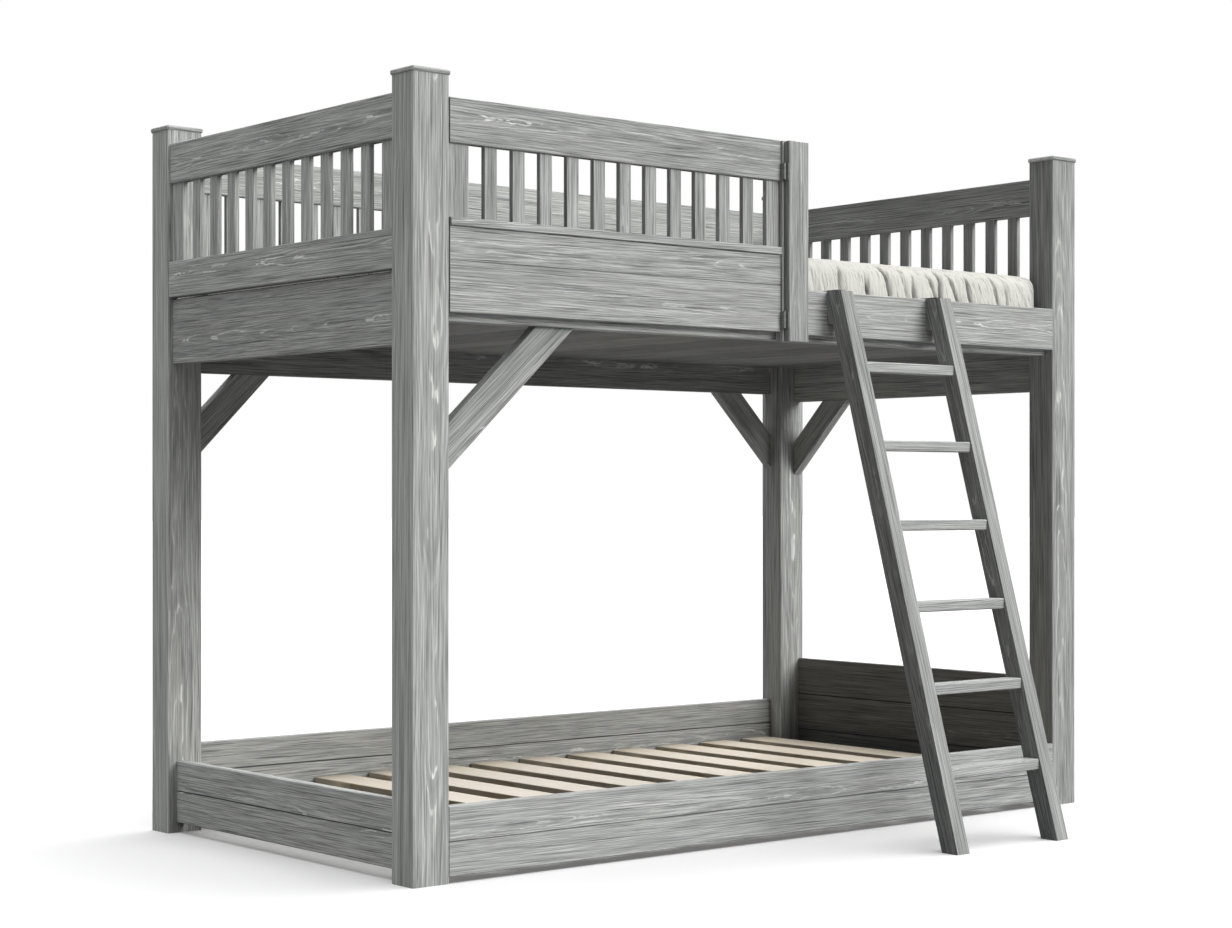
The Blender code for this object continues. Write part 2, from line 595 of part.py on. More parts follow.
def make_lower_bunk():
    """Boards round the lower bunk, the bearers on them and the slats with their webbing."""
    lower_board("lower_board_front", LOWER_FRONT, "YZ", (SPAN_START, FRONT), SPAN_LENGTH)
    lower_board("lower_board_rear", LOWER_REAR, "YZ", (SPAN_START, REAR_BOARD), SPAN_LENGTH)
    lower_board("lower_board_left", LOWER_LEFT, "XZ", (LEFT + LOWER_LEFT["inset"], END_START), END_LENGTH)
    right_x = RIGHT - LOWER_RIGHT["inset"] - LOWER_RIGHT["thickness"]
    lower_board("lower_board_right", LOWER_RIGHT, "XZ", (right_x, END_START), END_LENGTH)

    front_face = FRONT + LOWER_FRONT["thickness"]
    slat_base = BASE_SLAT_TOP - BASE_SLAT_THICKNESS
    bearer_size = (SPAN_LENGTH, BEARER_DEPTH, BEARER_HEIGHT)
    bearer_base = slat_base - GAP - BEARER_HEIGHT
    eased_box("slat_bearer_front", (SPAN_START, front_face + GAP, bearer_base), bearer_size, WOOD, EASE)
    eased_box("slat_bearer_rear", (SPAN_START, REAR_BOARD - GAP - BEARER_DEPTH, bearer_base), bearer_size,
              WOOD, EASE)

    slat_length = REAR_BOARD - front_face - 2 * BASE_SLAT_PLAY
    count = int((SPAN_LENGTH - BASE_SLAT_WIDTH) / BASE_SLAT_PITCH) + 1
    first = -(count - 1) * BASE_SLAT_PITCH / 2
    slats = [((first + index * BASE_SLAT_PITCH - BASE_SLAT_WIDTH / 2, front_face + BASE_SLAT_PLAY, slat_base),
              (BASE_SLAT_WIDTH, slat_length, BASE_SLAT_THICKNESS)) for index in range(count)]
    base = add_object("slat_base", block_mesh("slat_base", slats), PINE)
    band_length = (count - 1) * BASE_SLAT_PITCH + BASE_SLAT_WIDTH / 2
    band_size = (band_length, BAND_WIDTH, BAND_THICKNESS)
    band_z = slat_base + BAND_SINK - BAND_THICKNESS
    band_front = front_face + BAND_INSET
    band_rear = REAR_BOARD - BAND_INSET - BAND_WIDTH
    bands = [((-band_length / 2, y, band_z), band_size) for y in (band_front, band_rear)]
    combine(base, helper("slat_bands", block_mesh("slat_bands", bands)), "UNION")


def ladder_front(height):
    """Where the stringers' front edge lies at a height above the floor."""
    return FRONT - LADDER_REACH + LADDER_SLOPE * height


def make_ladder():
    """Two raked stringers, six level rungs and two steel hooks over the fascia rail."""
    ladder = axis_empty("ladder_lift_axis", (LADDER_LEFT, FRONT, FASCIA_TOP))
    top = FASCIA_TOP
    back = FRONT - GAP
    outline = [(ladder_front(0), 0), (ladder_front(0) + STRINGER_DEPTH, 0),
               (ladder_front(HEEL_BASE) + STRINGER_DEPTH, HEEL_BASE), (back, HEEL_BASE), (back, top),
               (ladder_front(top), top)]
    right_x = LADDER_LEFT + STRINGER_THICKNESS + LADDER_CLEAR_WIDTH
    for side, x in (("left", LADDER_LEFT), ("right", right_x)):
        extruded(f"ladder_stringer_{side}", [outline], "YZ", (x, 0, 0), STRINGER_THICKNESS, WOOD, ladder)
        hook_x = x + (STRINGER_THICKNESS - HOOK_WIDTH) / 2
        make_hook(side, hook_x, top, ladder)
    rung_x = LADDER_LEFT + STRINGER_THICKNESS + GAP
    rung_length = LADDER_CLEAR_WIDTH - 2 * GAP
    rung_outline = section(RUNG_DEPTH, RUNG_THICKNESS, ease=RUNG_EASE)
    for index in range(1, RUNG_COUNT + 1):
        level = index * RUNG_RISE
        low = (rung_x, ladder_front(level) + RUNG_SETBACK, level - RUNG_THICKNESS)
        extruded(f"ladder_rung_{index}", [rung_outline], "YZ", low, rung_length, WOOD, ladder)


def make_hook(side, x, top, ladder):
    """A flat steel hook: a plate on the stringer's top, over the fascia and down behind it."""
    tail_front = FASCIA_THICKNESS + GAP
    start = -HOOK_ON_STRINGER
    outline = [(start, 0), (tail_front, 0), (tail_front, -HOOK_TAIL),
               (tail_front + HOOK_THICKNESS, -HOOK_TAIL), (tail_front + HOOK_THICKNESS, HOOK_THICKNESS),
               (start, HOOK_THICKNESS)]
    extruded(f"ladder_hook_{side}", [outline], "YZ", (x, FRONT, top + GAP), HOOK_WIDTH, STEEL, ladder)


def main():
    clear_scene()
    make_posts()
    make_front_side()
    make_gate()
    make_end("left")
    make_end("right")
    make_rear_side()
    make_deck()
    make_mattress()
    make_braces()
    make_lower_bunk()
    make_ladder()


main()
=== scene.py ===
"""Bunk bed with ladder: finishes and fine pieces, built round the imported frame.

Metres, +Z up, -Y is the front with the gate and the ladder, +X is the ladder's end.
"""
import json
import math
import random

import bmesh
import bpy
import numpy as np
from mathutils import Matrix, Vector

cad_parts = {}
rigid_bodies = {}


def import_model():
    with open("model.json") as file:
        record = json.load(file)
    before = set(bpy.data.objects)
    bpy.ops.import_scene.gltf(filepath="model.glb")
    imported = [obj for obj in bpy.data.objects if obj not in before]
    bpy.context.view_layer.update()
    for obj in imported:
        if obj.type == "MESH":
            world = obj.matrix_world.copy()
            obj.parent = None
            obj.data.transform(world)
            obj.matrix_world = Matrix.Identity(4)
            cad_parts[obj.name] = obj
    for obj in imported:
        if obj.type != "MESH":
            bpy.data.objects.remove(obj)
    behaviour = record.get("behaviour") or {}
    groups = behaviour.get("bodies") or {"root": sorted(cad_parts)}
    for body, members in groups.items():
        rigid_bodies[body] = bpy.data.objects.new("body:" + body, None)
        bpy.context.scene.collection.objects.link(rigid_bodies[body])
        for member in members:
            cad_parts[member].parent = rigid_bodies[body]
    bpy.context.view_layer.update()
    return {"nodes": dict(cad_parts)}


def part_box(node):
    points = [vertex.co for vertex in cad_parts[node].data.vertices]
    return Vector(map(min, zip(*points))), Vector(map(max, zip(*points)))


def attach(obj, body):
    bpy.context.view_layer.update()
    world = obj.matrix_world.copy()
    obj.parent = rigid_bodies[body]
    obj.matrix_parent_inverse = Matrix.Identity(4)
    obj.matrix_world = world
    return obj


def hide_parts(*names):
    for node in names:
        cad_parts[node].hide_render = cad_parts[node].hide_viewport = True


bl_info = {
    "name": "Bunk Bed with Ladder",
    "version": (1, 0, 0),
    "blender": (4, 5, 0),
    "location": "3D View > Sidebar > Bunk Bed",
    "description": "Limed grey wood, pine slats, gathered mattress cover and fittings of a bunk bed",
    "category": "Object",
}

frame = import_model()

# Guard slats, as the frame has them
SLAT_WIDTH = 0.033
SLAT_PITCH = 0.0765
STILE = 0.052
GATE_HINGE_STILE = 0.0405
# Slats of the lower bunk
BASE_SLATS = 12
BASE_PITCH = 0.163
BASE_SLAT_THICKNESS = 0.018

# How far back the ladder leans for each metre up
LADDER_LEAN = 0.285
# How far the mattress cover stands past the frame's mattress, at its ends and on top
COVER_PAST_END = 0.0125
COVER_PAST_TOP = 0.009
# The most that air moves any point of the cover, and the cloth steps it is given
SWELL_LIMIT = 0.008
SWELL_STEPS = 20
# Share of the colour left in a dark line of dirt and painted shade, and in a faint one
DARK_LINE = 0.22
FAINT_LINE = 0.55

# Boards given painted light and shade in their tone: darker inside the bed, on the left end board, the
# brace and the ladder, paler where the gate and the fascia shade them
LIGHT_AND_SHADE_TONES = {"lower_board_right": 0.62, "rear_guard_ledge": 0.9, "upper_side_rail_rear": 0.75,
         "upper_end_board_left": 0.86, "upper_side_rail_front": 1.3, "gate_jamb_strip": 1.2,
         "brace_front_left": 0.82, "ladder_stringer_left": 0.85, "ladder_stringer_right": 0.85}
# Parts whose left side lies in the shade
SHADED_LEFT = ("right_guard_", "lower_board_right", "upper_end_board_right", "ladder_stringer_",
               "ladder_hook_", "gate_", "hinge_", "rear_guard_pickets", "post_front_right", "pine_slats")
# Nodes whose grain doesn't follow an axis of the frame
SLANTED = ("brace_", "ladder_stringer_")
# Nodes that get no grey wood: those of other materials, and those that a finer piece stands for
SOFT_OR_METAL = ("mattress", "hinge_", "ladder_hook_")
REMADE = ("gate_slats", "left_guard_slats", "right_guard_slats", "rear_guard_slats", "deck_panel",
          "slat_base")

X, Y, Z = Vector((1, 0, 0)), Vector((0, 1, 0)), Vector((0, 0, 1))


def linear(code):
    """Turns an sRGB hex colour into linear RGBA."""
    channels = [int(code[place:place + 2], 16) / 255 for place in (1, 3, 5)]
    return tuple(c / 12.92 if c <= 0.04045 else ((c + 0.055) / 1.055) ** 2.4 for c in channels) + (1.0,)


def put(tree, kind, inputs=None, stops=None, **settings):
    """Adds a shader node: settings are its own, inputs are values or outputs, stops its colour ramp."""
    made = tree.nodes.new("ShaderNode" + kind)
    for name, value in settings.items():
        setattr(made, name, value)
    for key, value in (inputs or {}).items():
        if isinstance(value, bpy.types.NodeSocket):
            tree.links.new(value, made.inputs[key])
        else:
            made.inputs[key].default_value = value
    if stops:
        elements = made.color_ramp.elements
        while len(elements) < len(stops):
            elements.new(0.5)
        for element, (place, colour) in zip(elements, stops):
            element.position = place
            element.color = colour
    return made


def new_material(name):
    """An empty node material and its tree."""
    material = bpy.data.materials.new(name)
    material.use_nodes = True
    material.node_tree.nodes.clear()
    return material, material.node_tree


def grey(value):
    """A ramp colour of one level."""
    return (value, value, value, 1.0)


def grain_turn(along, face):
    """Rotation that lays a pattern's X along the grain and its Z out of the face."""
    along = along.normalized()
    across = face.cross(along).normalized()
    out = along.cross(across)
    return Matrix((along, across, out)).transposed()


def limed_wood(name, along, face, heart, seed, tone=1.0, figure=1.0, dirt_and_shade_lines=(), line_tone=DARK_LINE,
               wave=0.024):
    """Limed grey softwood: sawn and brushed, with pale lime left in the open grain.

    The eye gets a cool grey board with short fibres along it, and bundles of pale wavy lines
    that follow the growth rings and nest into long arches where the board is cut flat. The heart
    is the tree's, just under the board's face; the line heights are those of dark lines of dirt and
    painted shade between planks, or of painted shadow along an end board's top edge, and wave is the
    length over which the rings waver.
    """
    wood = bpy.context.scene.bunk_bed.wood
    dice = random.Random(seed)
    material, tree = new_material(name)
    turn = grain_turn(along, face)
    lean = Matrix.Rotation(math.radians(dice.uniform(0.5, 1.1) * dice.choice((-1, 1))), 3, "Y")
    lean = lean @ Matrix.Rotation(math.radians(dice.uniform(-0.5, 0.5)), 3, "Z")
    place = put(tree, "TexCoord").outputs["Object"]
    board = put(tree, "Mapping", {
        "Vector": place, "Location": heart, "Rotation": (turn @ lean).to_euler()},
        vector_type="TEXTURE").outputs[0]
    shift = [dice.uniform(-20, 20) for _ in range(3)]

    def stretched(length, width, shift_by=0):
        """The board's own coordinates, one unit per feature along and across the grain."""
        return put(tree, "Mapping", {
            "Vector": board, "Location": [value + shift_by for value in shift],
            "Scale": (1 / length, 1 / width, 1 / width)}).outputs[0]

    def noise(length, width, detail, roughness, shift_by=0):
        return put(tree, "TexNoise", {
            "Vector": stretched(length, width, shift_by), "Scale": 1.0, "Detail": detail,
            "Roughness": roughness}).outputs[0]

    # growth rings round the tree's heart, which lies behind the board
    ring = wood.ring_spacing
    waver = put(tree, "TexNoise", {
        "Vector": stretched(wave, 0.012, 3), "Scale": 1.0, "Detail": 1.0, "Roughness": 0.5})
    nudge = put(tree, "VectorMath", {0: waver.outputs["Color"], 1: (0.5, 0.5, 0.5)},
                operation="SUBTRACT").outputs[0]
    nudge = put(tree, "VectorMath", {0: nudge, 1: (0, 0.0021, 0.0021)},
                operation="MULTIPLY").outputs[0]
    rings_at = put(tree, "VectorMath", {0: board, 1: nudge}, operation="ADD").outputs[0]
    rings_at = put(tree, "Mapping", {
        "Vector": rings_at, "Location": (shift[0], 0, 0), "Scale": (0.28, 1, 1)}).outputs[0]
    rings = put(tree, "TexWave", {
        "Vector": rings_at, "Scale": 0.314 / ring, "Distortion": wood.figure * figure, "Detail": 2.0,
        "Detail Scale": ring / 0.314 / 0.085, "Detail Roughness": 0.40, "Phase Offset": dice.uniform(0, 6)},
        wave_type="RINGS", rings_direction="X", wave_profile="SIN").outputs["Fac"]
    lime_line = put(tree, "ValToRGB", {"Fac": rings}, stops=(
        (0.91, grey(0)), (0.99, grey(0.9)))).outputs[0]

    # where lime stayed: bundles along the board, strongest at its heart, broken into strokes
    patches = put(tree, "ValToRGB", {"Fac": noise(0.26, 0.020, 2.0, 0.5, 7)}, stops=(
        (0.44, grey(0)), (0.60, grey(1)))).outputs[0]
    strokes = put(tree, "ValToRGB", {"Fac": noise(0.17, 0.0026, 2.0, 0.6, 11)}, stops=(
        (0.40, grey(0)), (0.58, grey(1)))).outputs[0]
    aside = put(tree, "SeparateXYZ", {0: board}).outputs[1]
    aside = put(tree, "Math", {0: aside}, operation="ABSOLUTE").outputs[0]
    vein = put(tree, "MapRange", {
        "Value": aside, "From Min": 0.008, "From Max": 0.030, "To Min": 1.0, "To Max": 0.15}).outputs[0]
    lime = lime_line
    for share in (patches, strokes, vein, wood.lime_strength):
        lime = put(tree, "Math", {0: lime, 1: share}, operation="MULTIPLY",
                   use_clamp=True).outputs[0]

    # fibres: broad streaks, and fine fibres and dark pores, drawn 2 to 3 mm wide so that they show
    streaks = noise(0.60, 0.0110, 2.0, 0.55, 17)
    fibres = noise(0.24, 0.0022, 3.0, 0.70, 23)
    pores = noise(0.34, 0.0030, 1.0, 0.5, 31)
    bands = noise(1.10, 0.060, 1.0, 0.5, 29)
    # tone scales these colours and the lime's: a board's own random tone, times painted light or shade on
    # some boards and on the deck
    body = put(tree, "ValToRGB", {"Fac": streaks}, stops=(
        (0.30, linear_of(wood.dark_grey, tone)), (0.50, linear_of(wood.grey, tone)),
        (0.70, linear_of(wood.light_grey, tone)))).outputs[0]
    fine = put(tree, "MapRange", {
        "Value": fibres, "From Min": 0.30, "From Max": 0.70, "To Min": 0.50, "To Max": 1.52}).outputs[0]
    thread = put(tree, "ValToRGB", {"Fac": pores}, stops=(
        (0.30, grey(0.50)), (0.39, grey(0.93)), (0.54, grey(1.0)))).outputs[0]
    broad = put(tree, "MapRange", {
        "Value": bands, "From Min": 0.30, "From Max": 0.70, "To Min": 0.96, "To Max": 1.07}).outputs[0]
    # soft early wood is darker; the ramp holds half the level, as it can't hold more than one
    early = put(tree, "ValToRGB", {"Fac": rings}, stops=(
        (0.0, grey(0.455)), (0.20, grey(0.492)), (0.70, grey(0.505)), (0.96, grey(0.56)))).outputs[0]
    early = put(tree, "Math", {0: early, 1: 2.0}, operation="MULTIPLY").outputs[0]
    level = fine
    for share in (broad, early, thread):
        level = put(tree, "Math", {0: level, 1: share}, operation="MULTIPLY").outputs[0]
    body = put(tree, "VectorMath", {0: body, 1: level}, operation="MULTIPLY").outputs[0]
    colour = put(tree, "Mix", {
        0: lime, 6: body, 7: linear_of(wood.lime, min(1.0, tone))}, data_type="RGBA").outputs[2]

    # dirt and painted shade in the V-shaped cuts between planks, and painted shadow in the gap over an end
    # board's top edge, 1.8 mm wide and soft to 4.4 mm
    for dirt_and_shade_line in dirt_and_shade_lines:
        level = put(tree, "SeparateXYZ", {0: place}).outputs[2]
        away = put(tree, "Math", {0: level, 1: dirt_and_shade_line}, operation="SUBTRACT").outputs[0]
        away = put(tree, "Math", {0: away}, operation="ABSOLUTE").outputs[0]
        line = put(tree, "MapRange", {
            "Value": away, "From Min": 0.0009, "From Max": 0.0022, "To Min": line_tone,
            "To Max": 1.0}).outputs[0]
        colour = put(tree, "VectorMath", {0: colour, 1: line}, operation="MULTIPLY").outputs[0]

    # brushed surface: soft early wood worn down between the fibres
    height = put(tree, "Math", {0: fibres, 1: 0.6}, operation="MULTIPLY").outputs[0]
    height = put(tree, "Math", {0: rings, 1: 0.4, 2: height}, operation="MULTIPLY_ADD").outputs[0]
    bump = put(tree, "Bump", {"Strength": 0.45, "Distance": 0.0005, "Height": height}).outputs[0]
    rough = put(tree, "MapRange", {
        "Value": fibres, "From Min": 0.3, "From Max": 0.7, "To Min": 0.82, "To Max": 0.62}).outputs[0]
    shader = put(tree, "BsdfPrincipled", {
        "Base Color": colour, "Roughness": rough, "IOR": 1.45, "Specular IOR Level": 0.35,
        "Normal": bump})
    put(tree, "OutputMaterial", {"Surface": shader.outputs[0]})
    return material


def linear_of(colour, tone):
    """A stored colour, lighter or darker by a factor."""
    return tuple(min(1.0, channel * tone) for channel in colour[:3]) + (1.0,)


def pine_wood(name, along, face, heart, seed):
    """Planed pine, left bare: pale early wood with thin amber late wood lines, satin from the planer."""
    pine = bpy.context.scene.bunk_bed.pine
    dice = random.Random(seed)
    material, tree = new_material(name)
    place = put(tree, "TexCoord").outputs["Object"]
    turn = grain_turn(along, face) @ Matrix.Rotation(math.radians(dice.uniform(-1, 1)), 3, "Y")
    board = put(tree, "Mapping", {
        "Vector": place, "Location": heart, "Rotation": turn.to_euler()},
        vector_type="TEXTURE").outputs[0]
    shift = (dice.uniform(-9, 9), 0, 0)
    rings_at = put(tree, "Mapping", {
        "Vector": board, "Location": shift, "Scale": (0.10, 1, 1)}).outputs[0]
    rings = put(tree, "TexWave", {
        "Vector": rings_at, "Scale": 0.314 / pine.ring_spacing, "Distortion": 14.0, "Detail": 2.0,
        "Detail Scale": 0.3, "Detail Roughness": 0.4}, wave_type="RINGS", rings_direction="X",
        wave_profile="SAW").outputs["Fac"]
    fibre_at = put(tree, "Mapping", {
        "Vector": board, "Location": shift, "Scale": (1 / 0.10, 1 / 0.002, 1 / 0.002)}).outputs[0]
    fibres = put(tree, "TexNoise", {
        "Vector": fibre_at, "Scale": 1.0, "Detail": 3.0, "Roughness": 0.6}).outputs[0]
    body = put(tree, "ValToRGB", {"Fac": rings}, stops=(
        (0.0, linear_of(pine.early, 1.0)), (0.72, linear_of(pine.early, 0.93)),
        (0.96, linear_of(pine.late, 1.0)), (1.0, linear_of(pine.early, 1.0)))).outputs[0]
    fine = put(tree, "MapRange", {
        "Value": fibres, "From Min": 0.3, "From Max": 0.7, "To Min": 0.92, "To Max": 1.05}).outputs[0]
    body = put(tree, "VectorMath", {0: body, 1: fine}, operation="MULTIPLY").outputs[0]
    bump = put(tree, "Bump", {"Strength": 0.2, "Distance": 0.0004, "Height": fibres}).outputs[0]
    rough = put(tree, "MapRange", {
        "Value": fibres, "From Min": 0.3, "From Max": 0.7, "To Min": 0.60, "To Max": 0.48}).outputs[0]
    shader = put(tree, "BsdfPrincipled", {
        "Base Color": body, "Roughness": rough, "IOR": 1.45, "Normal": bump})
    put(tree, "OutputMaterial", {"Surface": shader.outputs[0]})
    return material


def webbing(name):
    """Woven cotton tape: matt, off-white, a plain weave of 1.6 mm threads with a faint rib."""
    material, tree = new_material(name)
    place = put(tree, "TexCoord").outputs["Object"]
    warp = put(tree, "TexWave", {"Vector": place, "Scale": 0.314 / 0.0032},
               wave_type="BANDS", bands_direction="X").outputs["Fac"]
    weft = put(tree, "TexWave", {"Vector": place, "Scale": 0.314 / 0.0032},
               wave_type="BANDS", bands_direction="Y").outputs["Fac"]
    weave = put(tree, "Math", {0: warp, 1: weft}, operation="MULTIPLY").outputs[0]
    colour = put(tree, "ValToRGB", {"Fac": weave}, stops=(
        (0.0, linear("#b7ab97")), (1.0, linear("#e7dfd0")))).outputs[0]
    bump = put(tree, "Bump", {"Strength": 0.4, "Distance": 0.0004, "Height": weave}).outputs[0]
    shader = put(tree, "BsdfPrincipled", {"Base Color": colour, "Roughness": 0.9, "Normal": bump})
    put(tree, "OutputMaterial", {"Surface": shader.outputs[0]})
    return material


def staple_wire(name):
    """Drawn steel wire, zinc plated: bright grey metal with soft, duller clouds in the plating."""
    zinc = linear("#b9bbbd")
    material, tree = new_material(name)
    place = put(tree, "TexCoord").outputs["Object"]
    cloud = put(tree, "TexNoise", {
        "Vector": place, "Scale": 90.0, "Detail": 4.0, "Roughness": 0.6}).outputs[0]
    colour = put(tree, "ValToRGB", {"Fac": cloud}, stops=(
        (0.35, linear_of(zinc, 0.75)), (0.65, linear_of(zinc, 1.15)))).outputs[0]
    dull = put(tree, "MapRange", {
        "Value": cloud, "From Min": 0.3, "From Max": 0.7, "To Min": 0.27, "To Max": 0.43}).outputs[0]
    bump = put(tree, "Bump", {"Strength": 0.15, "Distance": 0.0002, "Height": cloud}).outputs[0]
    shader = put(tree, "BsdfPrincipled", {
        "Base Color": colour, "Metallic": 1.0, "Roughness": dull, "Normal": bump})
    put(tree, "OutputMaterial", {"Surface": shader.outputs[0]})
    return material


def stoved_enamel(name, low_tone, high_tone):
    """Pressed steel under stoved enamel: even grey with a slight orange peel and a satin shine."""
    material, tree = new_material(name)
    place = put(tree, "TexCoord").outputs["Object"]
    peel = put(tree, "TexNoise", {"Vector": place, "Scale": 700.0, "Detail": 2.0}).outputs[0]
    worn = put(tree, "TexNoise", {"Vector": place, "Scale": 160.0, "Detail": 3.0}).outputs[0]
    colour = put(tree, "ValToRGB", {"Fac": worn}, stops=(
        (0.35, linear(low_tone)), (0.70, linear(high_tone)))).outputs[0]
    bump = put(tree, "Bump", {"Strength": 0.1, "Distance": 0.0002, "Height": peel}).outputs[0]
    shader = put(tree, "BsdfPrincipled", {"Base Color": colour, "Roughness": 0.38, "Normal": bump})
    put(tree, "OutputMaterial", {"Surface": shader.outputs[0]})
    return material


def cover_cloth(name):
    """Crinkled cotton: thick, matt and off-white, ribbed by close gathers that run down the sides.

    Its pattern runs on cover_run, metres round the rim and down from it. The ribs' colour holds
    painted shade between them, and each deep fold's painted shade comes from the fold attribute, its depth.
    """
    cover = bpy.context.scene.bunk_bed.cover
    material, tree = new_material(name)
    run = put(tree, "UVMap", uv_map="cover_run").outputs[0]
    down = put(tree, "SeparateXYZ", {0: run}).outputs[1]
    # the gathers die out over the top, 60 to 190 mm in from its edge
    gathered = put(tree, "MapRange", {
        "Value": down, "From Min": -0.19, "From Max": -0.06, "To Min": 0.0, "To Max": 1.0}).outputs[0]
    wobble = put(tree, "Mapping", {"Vector": run, "Scale": (30, 12, 1)}).outputs[0]
    wobble = put(tree, "TexNoise", {
        "Vector": wobble, "Scale": 1.0, "Detail": 2.0}).outputs["Color"]
    wobble = put(tree, "VectorMath", {0: wobble, 1: (0.010, 0.004, 0)},
                 operation="MULTIPLY").outputs[0]
    run = put(tree, "VectorMath", {0: run, 1: wobble}, operation="ADD").outputs[0]
    leaning = put(tree, "Mapping", {"Vector": run, "Rotation": (0, 0, 0.27)}).outputs[0]
    ribs_at = put(tree, "Mapping", {
        "Vector": leaning, "Scale": (1 / cover.rib_spacing, 1 / 0.11, 1)}).outputs[0]
    ribs = put(tree, "TexNoise", {
        "Vector": ribs_at, "Scale": 1.0, "Detail": 3.0, "Roughness": 0.6}).outputs[0]
    ribs = put(tree, "Mix", {0: gathered, 2: 0.56, 3: ribs}, data_type="FLOAT").outputs[0]
    crepe_at = put(tree, "Mapping", {"Vector": run, "Scale": (420, 300, 1)}).outputs[0]
    crepe = put(tree, "TexNoise", {
        "Vector": crepe_at, "Scale": 1.0, "Detail": 2.0, "Roughness": 0.5}).outputs[0]
    # the ribs run from the shade colour, painted shade in the creases between them, to the cloth's
    colour = put(tree, "ValToRGB", {"Fac": ribs}, stops=(
        (0.30, linear_of(cover.shade, 1.0)), (0.43, linear_of(cover.cloth, 0.90)),
        (0.72, linear_of(cover.cloth, 1.06)))).outputs[0]
    # painted shade in the deep folds, darker where a fold is deeper
    fold = put(tree, "Attribute", attribute_name="fold").outputs["Fac"]
    shade = put(tree, "MapRange", {
        "Value": fold, "From Min": 0.30, "From Max": 1.0, "To Min": 1.0, "To Max": 0.42}).outputs[0]
    colour = put(tree, "VectorMath", {0: colour, 1: shade}, operation="MULTIPLY").outputs[0]
    height = put(tree, "Math", {0: crepe, 1: 0.25}, operation="MULTIPLY").outputs[0]
    height = put(tree, "Math", {0: ribs, 1: 1.0, 2: height}, operation="MULTIPLY_ADD").outputs[0]
    bump = put(tree, "Bump", {"Strength": 0.9, "Distance": 0.0030, "Height": height}).outputs[0]
    shader = put(tree, "BsdfPrincipled", {
        "Base Color": colour, "Roughness": 0.92, "Normal": bump, "Sheen Weight": 0.25,
        "Sheen Roughness": 0.5})
    put(tree, "OutputMaterial", {"Surface": shader.outputs[0]})
    return material


def settle(shape):
    """Puts a bmesh's points, edges and faces in an order that is the same each run, as cloth needs."""
    for items, place in ((shape.verts, lambda vert: vert.co),
                         (shape.edges, lambda edge: edge.verts[0].co + edge.verts[1].co),
                         (shape.faces, lambda face: face.calc_center_bounds())):
        for index, item in enumerate(sorted(items, key=lambda item: tuple(place(item)))):
            item.index = index
        items.sort()


def add_piece(name, shape, materials, body, nodes=()):
    """Makes a bmesh an object that rides on a body and, if named, stands for CAD nodes."""
    mesh = bpy.data.meshes.new(name)
    bmesh.ops.recalc_face_normals(shape, faces=shape.faces)
    settle(shape)
    shape.to_mesh(mesh)
    shape.free()
    piece = bpy.data.objects.new(name, mesh)
    bpy.context.scene.collection.objects.link(piece)
    for material in materials:
        mesh.materials.append(material)
    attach(piece, body)
    if nodes:
        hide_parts(*nodes)
    return piece


def add_board(shape, low, high, ease, segments=2):
    """Adds a block with eased edges to a bmesh."""
    made = bmesh.ops.create_cube(shape, size=1.0)["verts"]
    size = Vector(high) - Vector(low)
    bmesh.ops.scale(shape, vec=size, verts=made)
    bmesh.ops.translate(shape, vec=(Vector(low) + Vector(high)) / 2, verts=made)
    edges = list({edge for vert in made for edge in vert.link_edges})
    if ease > 0:
        bmesh.ops.bevel(shape, geom=edges, offset=ease, segments=segments, affect="EDGES", profile=0.5,
                        material=-1)


def slat_places(length, first, last):
    """Starts and widths of a guard's two stiles and its slats, with equal windows between them."""
    clear = length - first - last
    count = max(1, round((clear - (SLAT_PITCH - SLAT_WIDTH)) / SLAT_PITCH))
    window = (clear - count * SLAT_WIDTH) / (count + 1)
    places = [(0.0, first)]
    places += [(first + window + index * (window + SLAT_WIDTH), SLAT_WIDTH) for index in range(count)]
    places.append((length - last, last))
    return places


COLOUR = {"subtype": "COLOR", "size": 4, "min": 0, "max": 1}


class WoodSettings(bpy.types.PropertyGroup):
    """Limed grey wood."""
    grey: bpy.props.FloatVectorProperty(
        name="Grey", description="Middle tone of the boards",
        default=linear("#8e908e"), **COLOUR)
    light_grey: bpy.props.FloatVectorProperty(
        name="Light Grey", description="Pale streaks along the grain",
        default=linear("#979897"), **COLOUR)
    dark_grey: bpy.props.FloatVectorProperty(
        name="Dark Grey", description="Dark streaks along the grain",
        default=linear("#838585"), **COLOUR)
    lime: bpy.props.FloatVectorProperty(
        name="Lime", description="Pale lime in the open grain",
        default=linear("#dadbd8"), **COLOUR)
    lime_strength: bpy.props.FloatProperty(
        name="Lime Strength", description="How much lime shows", default=0.92, min=0, max=2,
        subtype="FACTOR")
    ring_spacing: bpy.props.FloatProperty(
        name="Ring Spacing", description="Distance between growth rings", default=0.0034,
        min=0.002, max=0.02, unit="LENGTH")
    figure: bpy.props.FloatProperty(
        name="Figure", description="How far the rings wander and nest into arches", default=15.0,
        min=0, max=60)


class PineSettings(bpy.types.PropertyGroup):
    """Bare pine of the lower bunk's slats."""
    early: bpy.props.FloatVectorProperty(
        name="Early Wood", description="Pale wood between the lines",
        default=linear("#d0c6b6"), **COLOUR)
    late: bpy.props.FloatVectorProperty(
        name="Late Wood", description="Amber lines",
        default=linear("#b9a788"), **COLOUR)
    ring_spacing: bpy.props.FloatProperty(
        name="Ring Spacing", description="Distance between growth rings", default=0.005,
        min=0.002, max=0.02, unit="LENGTH")


